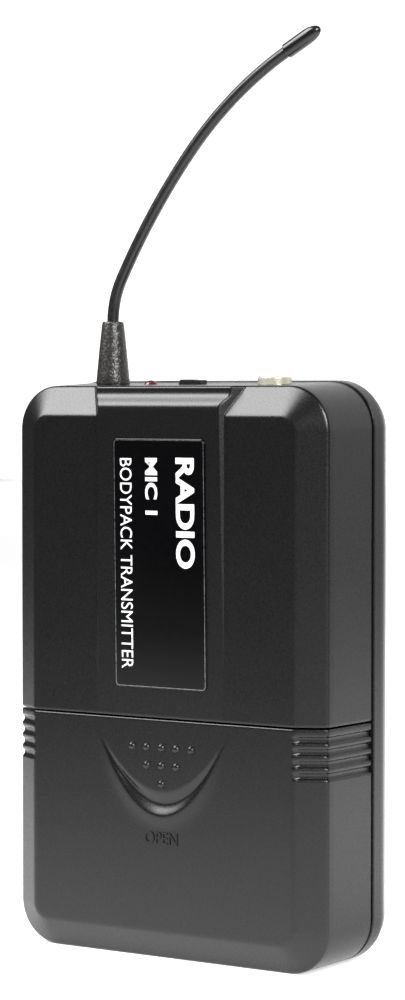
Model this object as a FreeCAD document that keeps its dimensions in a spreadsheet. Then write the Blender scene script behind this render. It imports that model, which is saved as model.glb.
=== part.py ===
"""Wireless bodypack transmitter: a belt-worn radio microphone transmitter.

Millimetres. +Z is up, +X is to the right of someone who looks at the front, and the front faces
-Y. The plane y = 0 is the parting plane between the front half (cover and battery door) and the
rear shell, and the origin is the middle of that plane's lower edge, on the base that the pack
stands on.
"""
import math
import os
import re

import FreeCAD
import Part
import Sketcher
from FreeCAD import Placement, Rotation, Vector

# alias, value, what it measures
SIZES = [
    ("case_width", 69.0, "width of the case at the parting plane"),
    ("case_height", 105.7, "height of the case at the parting plane"),
    ("front_depth", 14.3, "depth of the drafted walls in front of the parting plane"),
    ("rear_depth", 7.0, "depth of the rear shell"),
    ("side_draft", 0.45, "how much each side wall leans in over the front depth"),
    ("top_draft", 0.7, "how much the top wall leans in over the front depth"),
    ("bevel_depth", 3.2, "depth of the broad bevel round the front face"),
    ("bevel_width", 5.4, "width of the broad bevel round the front face"),
    ("corner_round", 8.6, "corner radius of the outline at the parting plane"),
    ("front_round", 8.2, "corner radius of the outline where the bevel starts"),
    ("face_round", 3.2, "corner radius of the flat front face"),
    ("back_inset", 1.6, "how much the rear shell's back edge is drawn in"),
    ("wall", 1.6, "wall of the mouldings"),
    ("seam_height", 44.4, "height of the seam between battery door and cover"),
    ("seam_gap", 0.25, "gap at the seam between battery door and cover"),
    ("parting_gap", 0.12, "gap between the battery door and the rear shell"),
    ("panel_width", 27.2, "width of the raised centre panel"),
    ("panel_rise", 0.9, "how far the top of the centre panel stands out"),
    ("panel_shoulder", 3.4, "height of the panel's rounded shoulder below the top"),
    ("label_width", 20.2, "width of the label"),
    ("label_over_seam", 5.5, "distance from the seam up to the label"),
    ("label_under_top", 10.3, "distance from the top down to the label"),
    ("label_offset", 0.35, "sideways place of the label's middle"),
    ("label_thick", 0.25, "thickness of the label"),
    ("grip_pitch", 2.15, "distance from one grip groove to the next"),
    ("grip_groove", 0.9, "height of a grip groove"),
    ("grip_depth", 0.45, "depth of a grip groove"),
    ("grip_count", 4, "grip grooves on each side of the door"),
    ("thumb_width", 29.2, "width of the thumb rest"),
    ("thumb_drop", 15.7, "height of the thumb rest"),
    ("thumb_top", 42.4, "height of the thumb rest's upper ends"),
    ("thumb_depth", 0.6, "depth of the thumb rest"),
    ("row_depth", 7.5, "how far in front of the parting plane the controls stand"),
    ("antenna_place", -17.6, "sideways place of the antenna"),
    ("boot_base", 6.35, "lower diameter of the antenna boot"),
    ("boot_top", 3.9, "upper diameter of the antenna boot"),
    ("boot_height", 11.6, "height of the antenna boot"),
    ("whip_diameter", 2.15, "diameter of the whip"),
    ("tip_diameter", 2.8, "diameter of the whip's end cap"),
    ("tip_length", 7.6, "length of the whip's end cap"),
    ("ferrule_diameter", 4.6, "diameter of the antenna's threaded bush"),
    ("ferrule_length", 9.0, "length of the antenna's threaded bush"),
    ("led_place", -8.9, "sideways place of the power light"),
    ("led_diameter", 3.0, "diameter of the power light"),
    ("led_rise", 0.75, "how far the power light stands above the top"),
    ("led_length", 5.3, "length of the power light"),
    ("knob_place", 0.45, "sideways place of the switch knob's middle"),
    ("knob_length", 4.8, "length of the switch knob along the slot"),
    ("knob_width", 2.2, "width of the switch knob across the slot"),
    ("knob_rise", 0.85, "how far the switch knob stands above the top"),
    ("knob_float", 0.12, "gap under the switch knob"),
    ("knob_travel", 2.0, "travel of the switch knob"),
    ("stem_size", 1.6, "side of the square stem under the switch knob"),
    ("switch_length", 11.0, "length of the switch body"),
    ("switch_height", 4.6, "height of the switch body"),
    ("switch_width", 5.0, "width of the switch body"),
    ("jack_place", 18.4, "sideways place of the microphone socket"),
    ("jack_bore", 3.6, "bore of the microphone socket, for a 3.5 mm plug"),
    ("jack_outer", 6.2, "outer diameter of the microphone socket's barrel"),
    ("jack_rise", 1.35, "how far the barrel stands above the top"),
    ("jack_length", 15.0, "length of the barrel"),
    ("jack_block", 8.2, "side of the moulded block round the barrel"),
    ("fit", 0.1, "gap all round a piece that passes through a hole"),
    ("board_width", 45.0, "width of the circuit board"),
    ("board_over_seam", 3.6, "distance from the seam up to the circuit board"),
    ("board_under_top", 4.7, "distance from the top down to the circuit board"),
    ("board_thick", 1.6, "thickness of the circuit board"),
    ("board_place", 0.4, "how far behind the parting plane the board's front lies"),
    ("cell_diameter", 14.2, "diameter of one AA cell"),
    ("cell_length", 49.0, "length of one AA cell's jacket"),
    ("cell_nub", 1.4, "length of the cell's positive nub"),
    ("cell_low", 13.4, "height of the lower cell's axis"),
    ("cell_pitch", 15.8, "distance between the two cells' axes"),
    ("cell_depth", 6.0, "how far in front of the parting plane the cells' axes lie"),
    ("cradle_gap", 0.25, "gap between a cell and its cradle"),
    ("tray_width", 58.6, "width of the battery tray"),
    ("tray_low", 3.9, "height of the battery tray's lower edge"),
    ("tray_high", 42.2, "height of the battery tray's upper edge"),
    ("tray_front", 3.0, "how far in front of the parting plane the tray's ends reach"),
    ("contact_thick", 0.4, "thickness of the contact plates"),
    ("spring_wire", 0.7, "wire of the battery contact springs"),
    ("spring_outer", 7.0, "outer diameter of the battery contact springs"),
    ("runner_width", 1.0, "thickness of the door's runners and the tray's flanges"),
    ("runner_gap", 0.25, "gap between runner and flange"),
    ("runner_low", 12.0, "height of the runners' lower ends"),
    ("lip_thick", 1.0, "thickness of the door's upper lip"),
    ("lip_rise", 2.0, "how far the lip reaches behind the cover"),
    ("lip_width", 40.0, "width of the lip"),
    ("boss_diameter", 5.0, "diameter of the screw bosses"),
    ("boss_place", 27.3, "sideways place of the screw bosses"),
    ("boss_over_seam", 6.1, "distance from the seam up to the lower screw bosses"),
    ("boss_under_top", 10.7, "distance from the top down to the upper screw bosses"),
    ("screw_shank", 2.0, "shank diameter of the case screws"),
    ("screw_head", 4.0, "head diameter of the case screws"),
    ("screw_head_high", 1.4, "head height of the case screws"),
    ("screw_length", 9.0, "length of the case screws under the head"),
    ("post_diameter", 4.4, "diameter of the board posts"),
    ("post_inset", 3.2, "distance from the board's edges to its screws"),
    ("small_shank", 1.6, "shank diameter of the board screws"),
    ("small_head", 3.2, "head diameter of the board screws"),
    ("pilot_gap", 0.03, "gap round a screw in its hole"),
    ("clip_width", 16.0, "width of the belt clip"),
    ("clip_low", 26.0, "height of the belt clip's lower end"),
    ("clip_under_top", 7.7, "distance from the top down to the belt clip's thumb end"),
    ("clip_thick", 2.2, "thickness of the belt clip"),
    ("belt_gap", 5.4, "room for the belt behind the case"),
    ("clip_nose_gap", 0.8, "gap between the clip's nose and the case"),
    ("clip_nose", 6.0, "height of the clip's nose"),
    ("pivot_under_top", 15.7, "distance from the top down to the clip's pin"),
    ("pivot_out", 3.5, "distance of the clip's pin from the back"),
    ("pin_diameter", 2.0, "diameter of the clip's pin"),
    ("pin_gap", 0.05, "running gap between the clip and its pin"),
    ("bracket_width", 22.0, "width of the clip's bracket"),
    ("bracket_high", 14.0, "height of the clip's bracket"),
    ("bracket_thick", 0.8, "thickness of the clip's bracket"),
    ("ear_width", 2.4, "thickness of the bracket's ears"),
    ("coil_width", 5.0, "width of the clip's spring"),
    ("coil_wire", 0.5, "wire of the clip's spring"),
    ("clip_clearance", 0.3, "gap on each side of the moving clip"),
]
VALUE = {alias: value for alias, value, _ in SIZES}

# alias, formula, what it measures: places that follow from the sizes above
PLACES = [
    ("label_low", "seam_height + label_over_seam", "height of the label's lower edge"),
    ("label_length", "case_height - label_under_top - label_low", "length of the label"),
    ("board_low", "seam_height + board_over_seam", "height of the circuit board's lower edge"),
    ("board_high", "case_height - board_under_top", "height of the circuit board's upper edge"),
    ("boss_low", "seam_height + boss_over_seam", "height of the lower screw bosses"),
    ("boss_high", "case_height - boss_under_top", "height of the upper screw bosses"),
    ("clip_high", "case_height - clip_under_top", "height of the belt clip's thumb end"),
    ("pivot_height", "case_height - pivot_under_top", "height of the clip's pin"),
]
NAMES = [alias for alias, _, _ in SIZES + PLACES]

doc = FreeCAD.newDocument("bodypack_transmitter")
sheet = doc.addObject("Spreadsheet::Sheet", "sizes")
for row, (alias, value, note) in enumerate(SIZES + PLACES, start=1):
    sheet.set("A%d" % row, note)
    sheet.set("B%d" % row, "=%s" % value)
    sheet.setAlias("B%d" % row, alias)
doc.recompute()


def formula(text):
    """An expression in which every size's name is looked up in the sheet."""
    return re.sub(r"[a-z_]+", lambda word: "sizes." + word[0] if word[0] in NAMES else word[0], text)


def bind(item, **formulas):
    """Drive properties of item by formulas; a double underscore stands for a dot."""
    for name, text in formulas.items():
        item.setExpression(name.replace("__", "."), formula(text))


# Formulas that several pieces share.
HALF_FRONT = "(case_width / 2 - side_draft)"
HIGH_FRONT = "(case_height - top_draft)"
FACE = "(front_depth + bevel_depth)"
TOP = "(case_height - top_draft * row_depth / front_depth)"
UNDER_TOP = "(case_height - top_draft - wall)"
BACK = "rear_depth"
BACK_INSIDE = "(rear_depth - wall)"
CELL_LOW = "cell_low"
CELL_HIGH = "(cell_low + cell_pitch)"
PIVOT_DEPTH = "(rear_depth + pivot_out)"
# The four case screws and the four board screws: which side, and how high.
BOSSES = [(side, high) for side in ("-1", "1") for high in ("boss_low", "boss_high")]
POSTS = [(side, high) for side in ("-1", "1")
         for high in ("(board_low + post_inset)", "(board_high - post_inset)")]
POST_PLACE = "(board_width / 2 - post_inset)"


def origin_plane(body, role):
    """One of the body's own origin planes."""
    return next(item for item in body.Origin.OriginFeatures if item.Role == role)


def new_body(label):
    body = doc.addObject("PartDesign::Body", label)
    body.Label = label
    return body


def new_sketch(body, name, role, across="0", up="0", out="0"):
    """A sketch on an origin plane of body, moved in the plane and along its normal."""
    sketch = body.newObject("Sketcher::SketchObject", name)
    sketch.AttachmentSupport = [(origin_plane(body, role), "")]
    sketch.MapMode = "FlatFace"
    bind(sketch, AttachmentOffset__Base__x=across, AttachmentOffset__Base__y=up,
         AttachmentOffset__Base__z=out)
    return sketch


def add_circle(sketch, diameter):
    """A circle about the sketch's origin."""
    circle = sketch.addGeometry(Part.Circle(Vector(0, 0, 0), Vector(0, 0, 1), 1.0), False)
    sketch.addConstraint(Sketcher.Constraint("Coincident", circle, 3, -1, 1))
    size = sketch.addConstraint(Sketcher.Constraint("Diameter", circle, 2.0))
    sketch.setExpression("Constraints[%d]" % size, formula(diameter))


def add_rectangle(sketch, width, height):
    """A rectangle with its lower left corner on the sketch's origin."""
    corners = [Vector(0, 0, 0), Vector(1, 0, 0), Vector(1, 1, 0), Vector(0, 1, 0)]
    for start, end in zip(corners, corners[1:] + corners[:1]):
        sketch.addGeometry(Part.LineSegment(start, end), False)
    for line in range(4):
        sketch.addConstraint(Sketcher.Constraint("Coincident", line, 2, (line + 1) % 4, 1))
        direction = "Vertical" if line % 2 else "Horizontal"
        sketch.addConstraint(Sketcher.Constraint(direction, line))
    sketch.addConstraint(Sketcher.Constraint("Coincident", 0, 1, -1, 1))
    wide = sketch.addConstraint(Sketcher.Constraint("DistanceX", 0, 1, 0, 2, 1.0))
    high = sketch.addConstraint(Sketcher.Constraint("DistanceY", 1, 1, 1, 2, 1.0))
    sketch.setExpression("Constraints[%d]" % wide, formula(width))
    sketch.setExpression("Constraints[%d]" % high, formula(height))


def add_polygon(sketch, points):
    """A closed outline whose corners are pairs of formulas, both of them positive or zero."""
    count = len(points)
    guess = [Vector(math.cos(2 * math.pi * i / count) + 2, math.sin(2 * math.pi * i / count) + 2, 0)
             for i in range(count)]
    for start, end in zip(guess, guess[1:] + guess[:1]):
        sketch.addGeometry(Part.LineSegment(start, end), False)
    for line in range(count):
        sketch.addConstraint(Sketcher.Constraint("Coincident", line, 2, (line + 1) % count, 1))
    for line, (across, up) in enumerate(points):
        for kind, text in (("DistanceX", across), ("DistanceY", up)):
            place = sketch.addConstraint(Sketcher.Constraint(kind, -1, 1, line, 1, 2.0))
            sketch.setExpression("Constraints[%d]" % place, formula(text))


def add_outline(sketch, half, height, radius):
    """A rectangle with round corners, standing on the sketch's origin and centred across it."""
    h, top, r = 30.0, 90.0, 5.0
    sides = [((-h + r, 0), (h - r, 0)), ((h, r), (h, top - r)),
             ((h - r, top), (-h + r, top)), ((-h, top - r), (-h, r))]
    for start, end in sides:
        sketch.addGeometry(Part.LineSegment(Vector(*start, 0), Vector(*end, 0)), False)
    centres = [(h - r, r), (h - r, top - r), (-h + r, top - r), (-h + r, r)]
    for turn, centre in enumerate(centres):
        circle = Part.Circle(Vector(*centre, 0), Vector(0, 0, 1), r)
        start = (turn - 1) * math.pi / 2
        sketch.addGeometry(Part.ArcOfCircle(circle, start, start + math.pi / 2), False)
    for corner in range(4):
        sketch.addConstraint(Sketcher.Constraint("Tangent", corner, 2, 4 + corner, 1))
        sketch.addConstraint(Sketcher.Constraint("Tangent", 4 + corner, 2, (corner + 1) % 4, 1))
    for line in range(1, 4):
        sketch.addConstraint(Sketcher.Constraint("Vertical" if line % 2 else "Horizontal", line))
    for corner in range(5, 8):
        sketch.addConstraint(Sketcher.Constraint("Equal", 4, corner))
    sketch.addConstraint(Sketcher.Constraint("PointOnObject", 0, 1, -1))
    sketch.addConstraint(Sketcher.Constraint("Symmetric", 0, 1, 0, 2, -2))
    sizes = [("Radius", (4,), r, radius), ("DistanceX", (-1, 1, 1, 1), h, half),
             ("DistanceY", (-1, 1, 2, 1), top, height)]
    for kind, where, value, text in sizes:
        size = sketch.addConstraint(Sketcher.Constraint(kind, *where, value))
        sketch.setExpression("Constraints[%d]" % size, formula(text))


def pad(body, sketch, length, reverse=False, both=False):
    feature = body.newObject("PartDesign::Pad", sketch.Name + "_pad")
    feature.Profile = sketch
    feature.Reversed = reverse
    feature.Midplane = both
    bind(feature, Length=length)
    return feature


def pocket(body, sketch, length, reverse=False, both=False):
    feature = body.newObject("PartDesign::Pocket", sketch.Name + "_pocket")
    feature.Profile = sketch
    feature.Reversed = reverse
    feature.Midplane = both
    bind(feature, Length=length)
    return feature


def loft(body, kind, name, sections):
    """A straight-sided loft through round-cornered outlines (forward, half, low, high, radius)."""
    outlines = []
    for index, (forward, half, low, high, radius) in enumerate(sections):
        sketch = new_sketch(body, "%s_outline_%d" % (name, index), "XZ_Plane", up=low, out=forward)
        add_outline(sketch, half, "(%s) - (%s)" % (high, low), radius)
        outlines.append(sketch)
    feature = body.newObject("PartDesign::" + kind, name)
    feature.Profile = outlines[0]
    feature.Sections = outlines[1:]
    feature.Ruled = True
    return feature


def box(name, low_x, low_y, low_z, wide, deep, high):
    item = doc.addObject("Part::Box", name)
    bind(item, Length=wide, Width=deep, Height=high, Placement__Base__x=low_x,
         Placement__Base__y=low_y, Placement__Base__z=low_z)
    return item


def cylinder(name, x, y, z, diameter, length, axis="Z"):
    """A cylinder that starts at a point and runs along +X, +Y or +Z."""
    item = doc.addObject("Part::Cylinder", name)
    turns = {"X": Rotation(Vector(0, 1, 0), 90), "Y": Rotation(Vector(1, 0, 0), -90), "Z": Rotation()}
    item.Placement = Placement(Vector(0, 0, 0), turns[axis])
    bind(item, Radius="(%s) / 2" % diameter, Height=length, Placement__Base__x=x,
         Placement__Base__y=y, Placement__Base__z=z)
    return item


def fuse(name, items):
    item = doc.addObject("Part::MultiFuse", name)
    item.Shapes = items
    return item


def cut(name, base, tool):
    item = doc.addObject("Part::Cut", name)
    item.Base = base
    item.Tool = tool
    return item


def group(name, items):
    """Separate solids that share one node."""
    item = doc.addObject("Part::Compound", name)
    item.Links = items
    return item


NODES = []


def node(item, label):
    """Declare a sub-part: its Label names its file."""
    item.Label = label
    NODES.append(item)
    return item


# ---------------------------------------------------------------- front half: cover and door

def front_half(label, cut_above):
    """The drafted, bevelled, hollow front half, kept on one side of the seam.

    Its back edge lies on the parting plane; the door's is drawn forward by the parting gap.
    """
    body = new_body(label)
    inner = "(case_height - wall)"
    loft(body, "AdditiveLoft", label + "_walls", [
        ("0", "case_width / 2", "0", "case_height", "corner_round"),
        ("front_depth", HALF_FRONT, "0", HIGH_FRONT, "front_round")])
    loft(body, "AdditiveLoft", label + "_bevel", [
        ("front_depth", HALF_FRONT, "0", HIGH_FRONT, "front_round"),
        (FACE, HALF_FRONT + " - bevel_width", "bevel_width", HIGH_FRONT + " - bevel_width",
         "face_round")])
    if not cut_above:
        raised_panel(body)
    loft(body, "SubtractiveLoft", label + "_cavity", [
        ("-0.5", "case_width / 2 - wall", "wall", inner, "corner_round - wall"),
        ("front_depth - wall / 2", HALF_FRONT + " - wall", "wall", HIGH_FRONT + " - wall",
         "front_round - wall")])
    loft(body, "SubtractiveLoft", label + "_bevel_cavity", [
        ("front_depth - wall / 2 - 0.01", HALF_FRONT + " - wall", "wall", HIGH_FRONT + " - wall",
         "front_round - wall"),
        (FACE + " - wall", HALF_FRONT + " - bevel_width", "bevel_width",
         HIGH_FRONT + " - bevel_width", "face_round")])
    edge = "seam_height - seam_gap / 2" if cut_above else "seam_height + seam_gap / 2"
    seam = new_sketch(body, label + "_seam", "XY_Plane", "-case_width", "-case_height", edge)
    add_rectangle(seam, "2 * case_width", "2 * case_height")
    pocket(body, seam, "2 * case_height", reverse=cut_above)
    return body


def raised_panel(body):
    """The centre panel's side view, carried across: it rises from the seam to a round shoulder."""
    sketch = new_sketch(body, "panel_side", "YZ_Plane", across="-" + FACE + " - panel_rise")
    reach = "panel_rise + bevel_depth / 2"
    add_polygon(sketch, [
        ("panel_rise", "seam_height"), (reach, "seam_height"), (reach, HIGH_FRONT + " - wall"),
        (reach, HIGH_FRONT), ("panel_rise + bevel_depth / 4", HIGH_FRONT),
        ("panel_rise", HIGH_FRONT + " - panel_shoulder / 3"),
        ("0", HIGH_FRONT + " - panel_shoulder")])
    pad(body, sketch, "panel_width", both=True)


def through_top(body, name, place, diameter):
    """A round hole through the top wall for one of the controls."""
    sketch = new_sketch(body, name, "XY_Plane", place, "-row_depth", "case_height + wall")
    add_circle(sketch, diameter)
    pocket(body, sketch, "top_draft + 3 * wall")


def front_cover():
    body = front_half("front_cover", cut_above=False)
    through_top(body, "antenna_hole", "antenna_place", "ferrule_diameter + 2 * fit")
    through_top(body, "led_hole", "led_place", "led_diameter + 2 * fit")
    through_top(body, "jack_hole", "jack_place", "jack_outer + 2 * fit")
    slot = new_sketch(body, "knob_slot", "XY_Plane", "knob_place - stem_size / 2 - fit",
                      "-row_depth - stem_size / 2 - fit", "case_height + wall")
    add_rectangle(slot, "stem_size + knob_travel + 2 * fit", "stem_size + 2 * fit")
    pocket(body, slot, "top_draft + 3 * wall")
    for index, (side, high) in enumerate(BOSSES):
        boss = new_sketch(body, "boss_%d" % index, "XZ_Plane", side + " * boss_place", high,
                          "parting_gap")
        add_circle(boss, "boss_diameter")
        pad(body, boss, FACE + " - wall - parting_gap + 0.2")
        pilot = new_sketch(body, "pilot_%d" % index, "XZ_Plane", side + " * boss_place", high, "0")
        add_circle(pilot, "screw_shank + 2 * pilot_gap")
        pocket(body, pilot, "screw_length", reverse=True)
    return body


def battery_door():
    body = front_half("battery_door", cut_above=True)
    # The back edge clears the rear shell.
    back = new_sketch(body, "door_back", "XZ_Plane", "-case_width", "-case_height", "parting_gap")
    add_rectangle(back, "2 * case_width", "2 * case_height")
    pocket(body, back, "wall")
    # Two runners hook behind the tray's flanges, and a lip reaches behind the cover.
    runner_out = "(case_width / 2 - wall / 2)"
    runner_in = "(tray_width / 2 + runner_gap)"
    for side, start in (("left", "-" + runner_out), ("right", runner_in)):
        runner = new_sketch(body, "runner_" + side, "XZ_Plane", start, "runner_low", "parting_gap")
        add_rectangle(runner, "%s - %s" % (runner_out, runner_in),
                      "seam_height - seam_gap / 2 - runner_low")
        pad(body, runner, "runner_width")
    root = new_sketch(body, "lip_root", "XZ_Plane", "-lip_width / 2", "seam_height - 4 * lip_thick",
                      FACE + " - wall - fit - lip_thick")
    add_rectangle(root, "lip_width", "4 * lip_thick - seam_gap / 2")
    pad(body, root, "lip_thick + fit + wall / 2")
    lip = new_sketch(body, "lip", "XZ_Plane", "-lip_width / 2", "seam_height - seam_gap / 2 - 0.2",
                     FACE + " - wall - fit - lip_thick")
    add_rectangle(lip, "lip_width", "lip_rise + 0.2")
    pad(body, lip, "lip_thick - fit")
    thumb_rest(body)
    grip_grooves(body)
    return body


def thumb_rest(body):
    """A shallow crescent cut into the front, bounded by two arcs that share their ends."""
    half = VALUE["thumb_width"] / 2
    drop = VALUE["thumb_drop"]
    sketch = new_sketch(body, "thumb_rest", "XZ_Plane", up="thumb_top - thumb_drop",
                        out=FACE + " + 0.5")
    outer = Part.Arc(Vector(-half, drop, 0), Vector(0, 0, 0), Vector(half, drop, 0))
    inner = Part.Arc(Vector(-half, drop, 0), Vector(0, drop / 3, 0), Vector(half, drop, 0))
    for curve in (outer, inner):
        sketch.addGeometry(curve, False)
    for own, other in ((1, 1), (2, 2)):
        sketch.addConstraint(Sketcher.Constraint("Coincident", 0, own, 1, other))
    sketch.addConstraint(Sketcher.Constraint("Symmetric", 0, 1, 0, 2, -2))
    sketch.addConstraint(Sketcher.Constraint("PointOnObject", 0, 3, -2))
    wide = sketch.addConstraint(Sketcher.Constraint("DistanceX", 0, 1, 0, 2, 2 * half))
    high = sketch.addConstraint(Sketcher.Constraint("DistanceY", -1, 1, 0, 1, drop))
    bend = sketch.addConstraint(Sketcher.Constraint("Radius", 0, (half ** 2 + drop ** 2) / 2 / drop))
    inner_bend = sketch.addConstraint(
        Sketcher.Constraint("Radius", 1, (half ** 2 + (drop * 2 / 3) ** 2) / (drop * 4 / 3)))
    formulas = {
        wide: "thumb_width", high: "thumb_drop",
        bend: "(thumb_width ^ 2 / 4 + thumb_drop ^ 2) / 2 / thumb_drop",
        inner_bend: "(thumb_width ^ 2 / 4 + thumb_drop ^ 2 * 4 / 9) * 3 / 4 / thumb_drop"}
    for index, text in formulas.items():
        sketch.setExpression("Constraints[%d]" % index, formula(text))
    pocket(body, sketch, "thumb_depth + 0.5")


def grip_grooves(body):
    """On each side wall, one groove across it, repeated down the side."""
    for side, start in (("left", "-case_width / 2 - 2 * wall"), ("right", "")):
        inner = HALF_FRONT + " - grip_depth"
        sketch = new_sketch(body, "grip_groove_" + side, "XZ_Plane", start or inner,
                            "seam_height - grip_pitch - grip_groove / 2", "2 * parting_gap")
        add_rectangle(sketch, "case_width / 2 + 2 * wall - " + inner, "grip_groove")
        groove = pocket(body, sketch, "front_depth + bevel_depth / 4", reverse=True)
        doc.recompute()
        row = body.newObject("PartDesign::LinearPattern", "grip_row_" + side)
        row.Originals = [groove]
        row.Direction = (sketch, ["V_Axis"])
        row.Reversed = True
        bind(row, Length="grip_pitch * (grip_count - 1)", Occurrences="grip_count")
        body.Tip = row


# ---------------------------------------------------------------- rear shell and battery tray

def rear_shell():
    """The tray-shaped back half, with board posts and counterbored screw holes."""
    body = new_body("rear_shell")
    loft(body, "AdditiveLoft", "rear_walls", [
        ("0", "case_width / 2", "0", "case_height", "corner_round"),
        ("-rear_depth / 2", "case_width / 2", "0", "case_height - top_draft / 4", "corner_round")])
    loft(body, "AdditiveLoft", "rear_edge", [
        ("-rear_depth / 2", "case_width / 2", "0", "case_height - top_draft / 4", "corner_round"),
        ("-rear_depth", "case_width / 2 - back_inset", "back_inset", "case_height - back_inset",
         "corner_round - back_inset")])
    loft(body, "SubtractiveLoft", "rear_cavity", [
        ("0.5", "case_width / 2 - wall", "wall", "case_height - wall", "corner_round - wall"),
        ("-rear_depth + wall", "case_width / 2 - wall - back_inset / 2", "wall + back_inset / 2",
         "case_height - wall - back_inset / 2", "corner_round - wall - back_inset / 2")])
    for index, (side, high) in enumerate(BOSSES):
        across = side + " * boss_place"
        pillar = new_sketch(body, "screw_pillar_%d" % index, "XZ_Plane", across, high, "-parting_gap")
        add_circle(pillar, "boss_diameter + 0.4")
        pad(body, pillar, "rear_depth - wall / 2", reverse=True)
        hole = new_sketch(body, "screw_hole_%d" % index, "XZ_Plane", across, high, "1")
        add_circle(hole, "screw_shank + 2 * fit")
        pocket(body, hole, "rear_depth + 2")
        sink = new_sketch(body, "screw_sink_%d" % index, "XZ_Plane", across, high,
                          "-rear_depth + screw_head_high + fit")
        add_circle(sink, "screw_head + 2 * fit")
        pocket(body, sink, "rear_depth")
    for index, (side, high) in enumerate(POSTS):
        across = side + " * " + POST_PLACE
        post = new_sketch(body, "board_post_%d" % index, "XZ_Plane", across, high,
                          "-board_place - board_thick")
        add_circle(post, "post_diameter")
        pad(body, post, "rear_depth - wall / 2 - board_place - board_thick", reverse=True)
        pilot = new_sketch(body, "post_hole_%d" % index, "XZ_Plane", across, high, "0")
        add_circle(pilot, "small_shank + 2 * pilot_gap")
        pocket(body, pilot, "rear_depth - wall")
    return body


def battery_tray():
    """A cradle for two cells, with end walls for the contacts and flanges for the door."""
    block = box("tray_block", "-tray_width / 2", "-tray_front", "tray_low", "tray_width",
                "tray_front + " + BACK_INSIDE, "tray_high - tray_low")
    flanges = [box("tray_flange_%d" % index, start,
                   "-parting_gap - 2 * runner_width - runner_gap", "runner_low - wall",
                   "case_width / 2 - wall - tray_width / 2 - 2 * runner_gap", "runner_width",
                   "tray_high - runner_low + wall")
               for index, start in enumerate((
                   "tray_width / 2",
                   "-case_width / 2 + wall + 2 * runner_gap"))]
    cradles = [cylinder("cradle_%d" % index, INSIDE_LEFT, "-cell_depth", high,
                        "cell_diameter + 2 * cradle_gap", INSIDE_LENGTH, "X")
               for index, high in enumerate((CELL_LOW, CELL_HIGH))]
    mouths = [box("mouth_%d" % index, INSIDE_LEFT, "-2 * cell_diameter",
                  high + " - cell_diameter / 2 - cradle_gap", INSIDE_LENGTH,
                  "2 * cell_diameter - cell_depth", "cell_diameter + 2 * cradle_gap")
              for index, high in enumerate((CELL_LOW, CELL_HIGH))]
    return cut("battery_tray", fuse("tray_solid", [block] + flanges),
               fuse("tray_hollows", cradles + mouths))


END_ROOM = "(cell_nub + 2.6)"
INSIDE_LENGTH = "(cell_length + 2 * %s)" % END_ROOM
INSIDE_LEFT = "(-cell_length / 2 - %s)" % END_ROOM


def cells():
    """Two AA cells lying crosswise, turned opposite ways: the jacket and the positive nub."""
    for label, high, side in (("battery_lower", CELL_LOW, 1), ("battery_upper", CELL_HIGH, -1)):
        jacket = cylinder(label + "_jacket", "-cell_length / 2", "-cell_depth", high,
                          "cell_diameter", "cell_length", "X")
        start = "cell_length / 2" if side > 0 else "-cell_length / 2 - cell_nub"
        nub = cylinder(label + "_nub", start, "-cell_depth", high, "cell_diameter * 0.38",
                       "cell_nub", "X")
        node(fuse(label, [jacket, nub]), label)


def battery_contacts():
    """A plate behind each nub, a spring behind each flat end, and a link between the pair."""
    plate = "cell_diameter * 0.6"
    plates, springs = [], []
    for index, (high, side) in enumerate(((CELL_LOW, 1), (CELL_HIGH, -1))):
        nub_end = "cell_length / 2 + cell_nub" if side > 0 else \
            "-cell_length / 2 - cell_nub - contact_thick"
        plates.append(box("plate_%d" % index, nub_end, "-cell_depth - %s / 2" % plate,
                          high + " - %s / 2" % plate, "contact_thick", plate, plate))
        spring_start = "-cell_length / 2 - %s" % END_ROOM if side > 0 else "cell_length / 2"
        coil = cylinder("coil_%d" % index, spring_start, "-cell_depth", high, "spring_outer",
                        END_ROOM, "X")
        hollow = cylinder("coil_hollow_%d" % index, spring_start, "-cell_depth", high,
                          "spring_outer - 2 * spring_wire", END_ROOM, "X")
        springs.append(cut("contact_spring_%d" % index, coil, hollow))
    node(group("contact_plates", plates), "contact_plates")
    node(group("contact_springs", springs), "contact_springs")
    link = box("contact_link", INSIDE_LEFT + " - 2 * contact_thick", "-tray_front - contact_thick",
               CELL_LOW, "2 * contact_thick", "contact_thick", "cell_pitch")
    node(link, "contact_link")
    leads = [cylinder("battery_lead_%d" % index, side + " * (%s - 3)" % POST_PLACE,
                      "board_place - 0.5", "tray_high", "1.0", "board_low - tray_high + 4")
             for index, side in enumerate(("-1", "1"))]
    node(group("battery_leads", leads), "battery_leads")


# ---------------------------------------------------------------- label and controls

def label_plate():
    """A thin plate lying on the sloping centre panel."""
    item = doc.addObject("Part::Box", "label_plate")
    slope = "(panel_rise / (%s - panel_shoulder - seam_height))" % HIGH_FRONT
    item.Placement = Placement(Vector(0, 0, 0), Rotation(Vector(1, 0, 0), 1))
    bind(item, Length="label_width", Width="label_thick", Height="label_length",
         Placement__Base__x="label_offset - label_width / 2",
         Placement__Base__y="-%s - label_thick * sqrt(1 + %s ^ 2) - %s * (label_low - seam_height)"
         % (FACE, slope, slope),
         Placement__Base__z="label_low", Placement__Rotation__Angle="atan(%s)" % slope)
    return item


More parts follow.
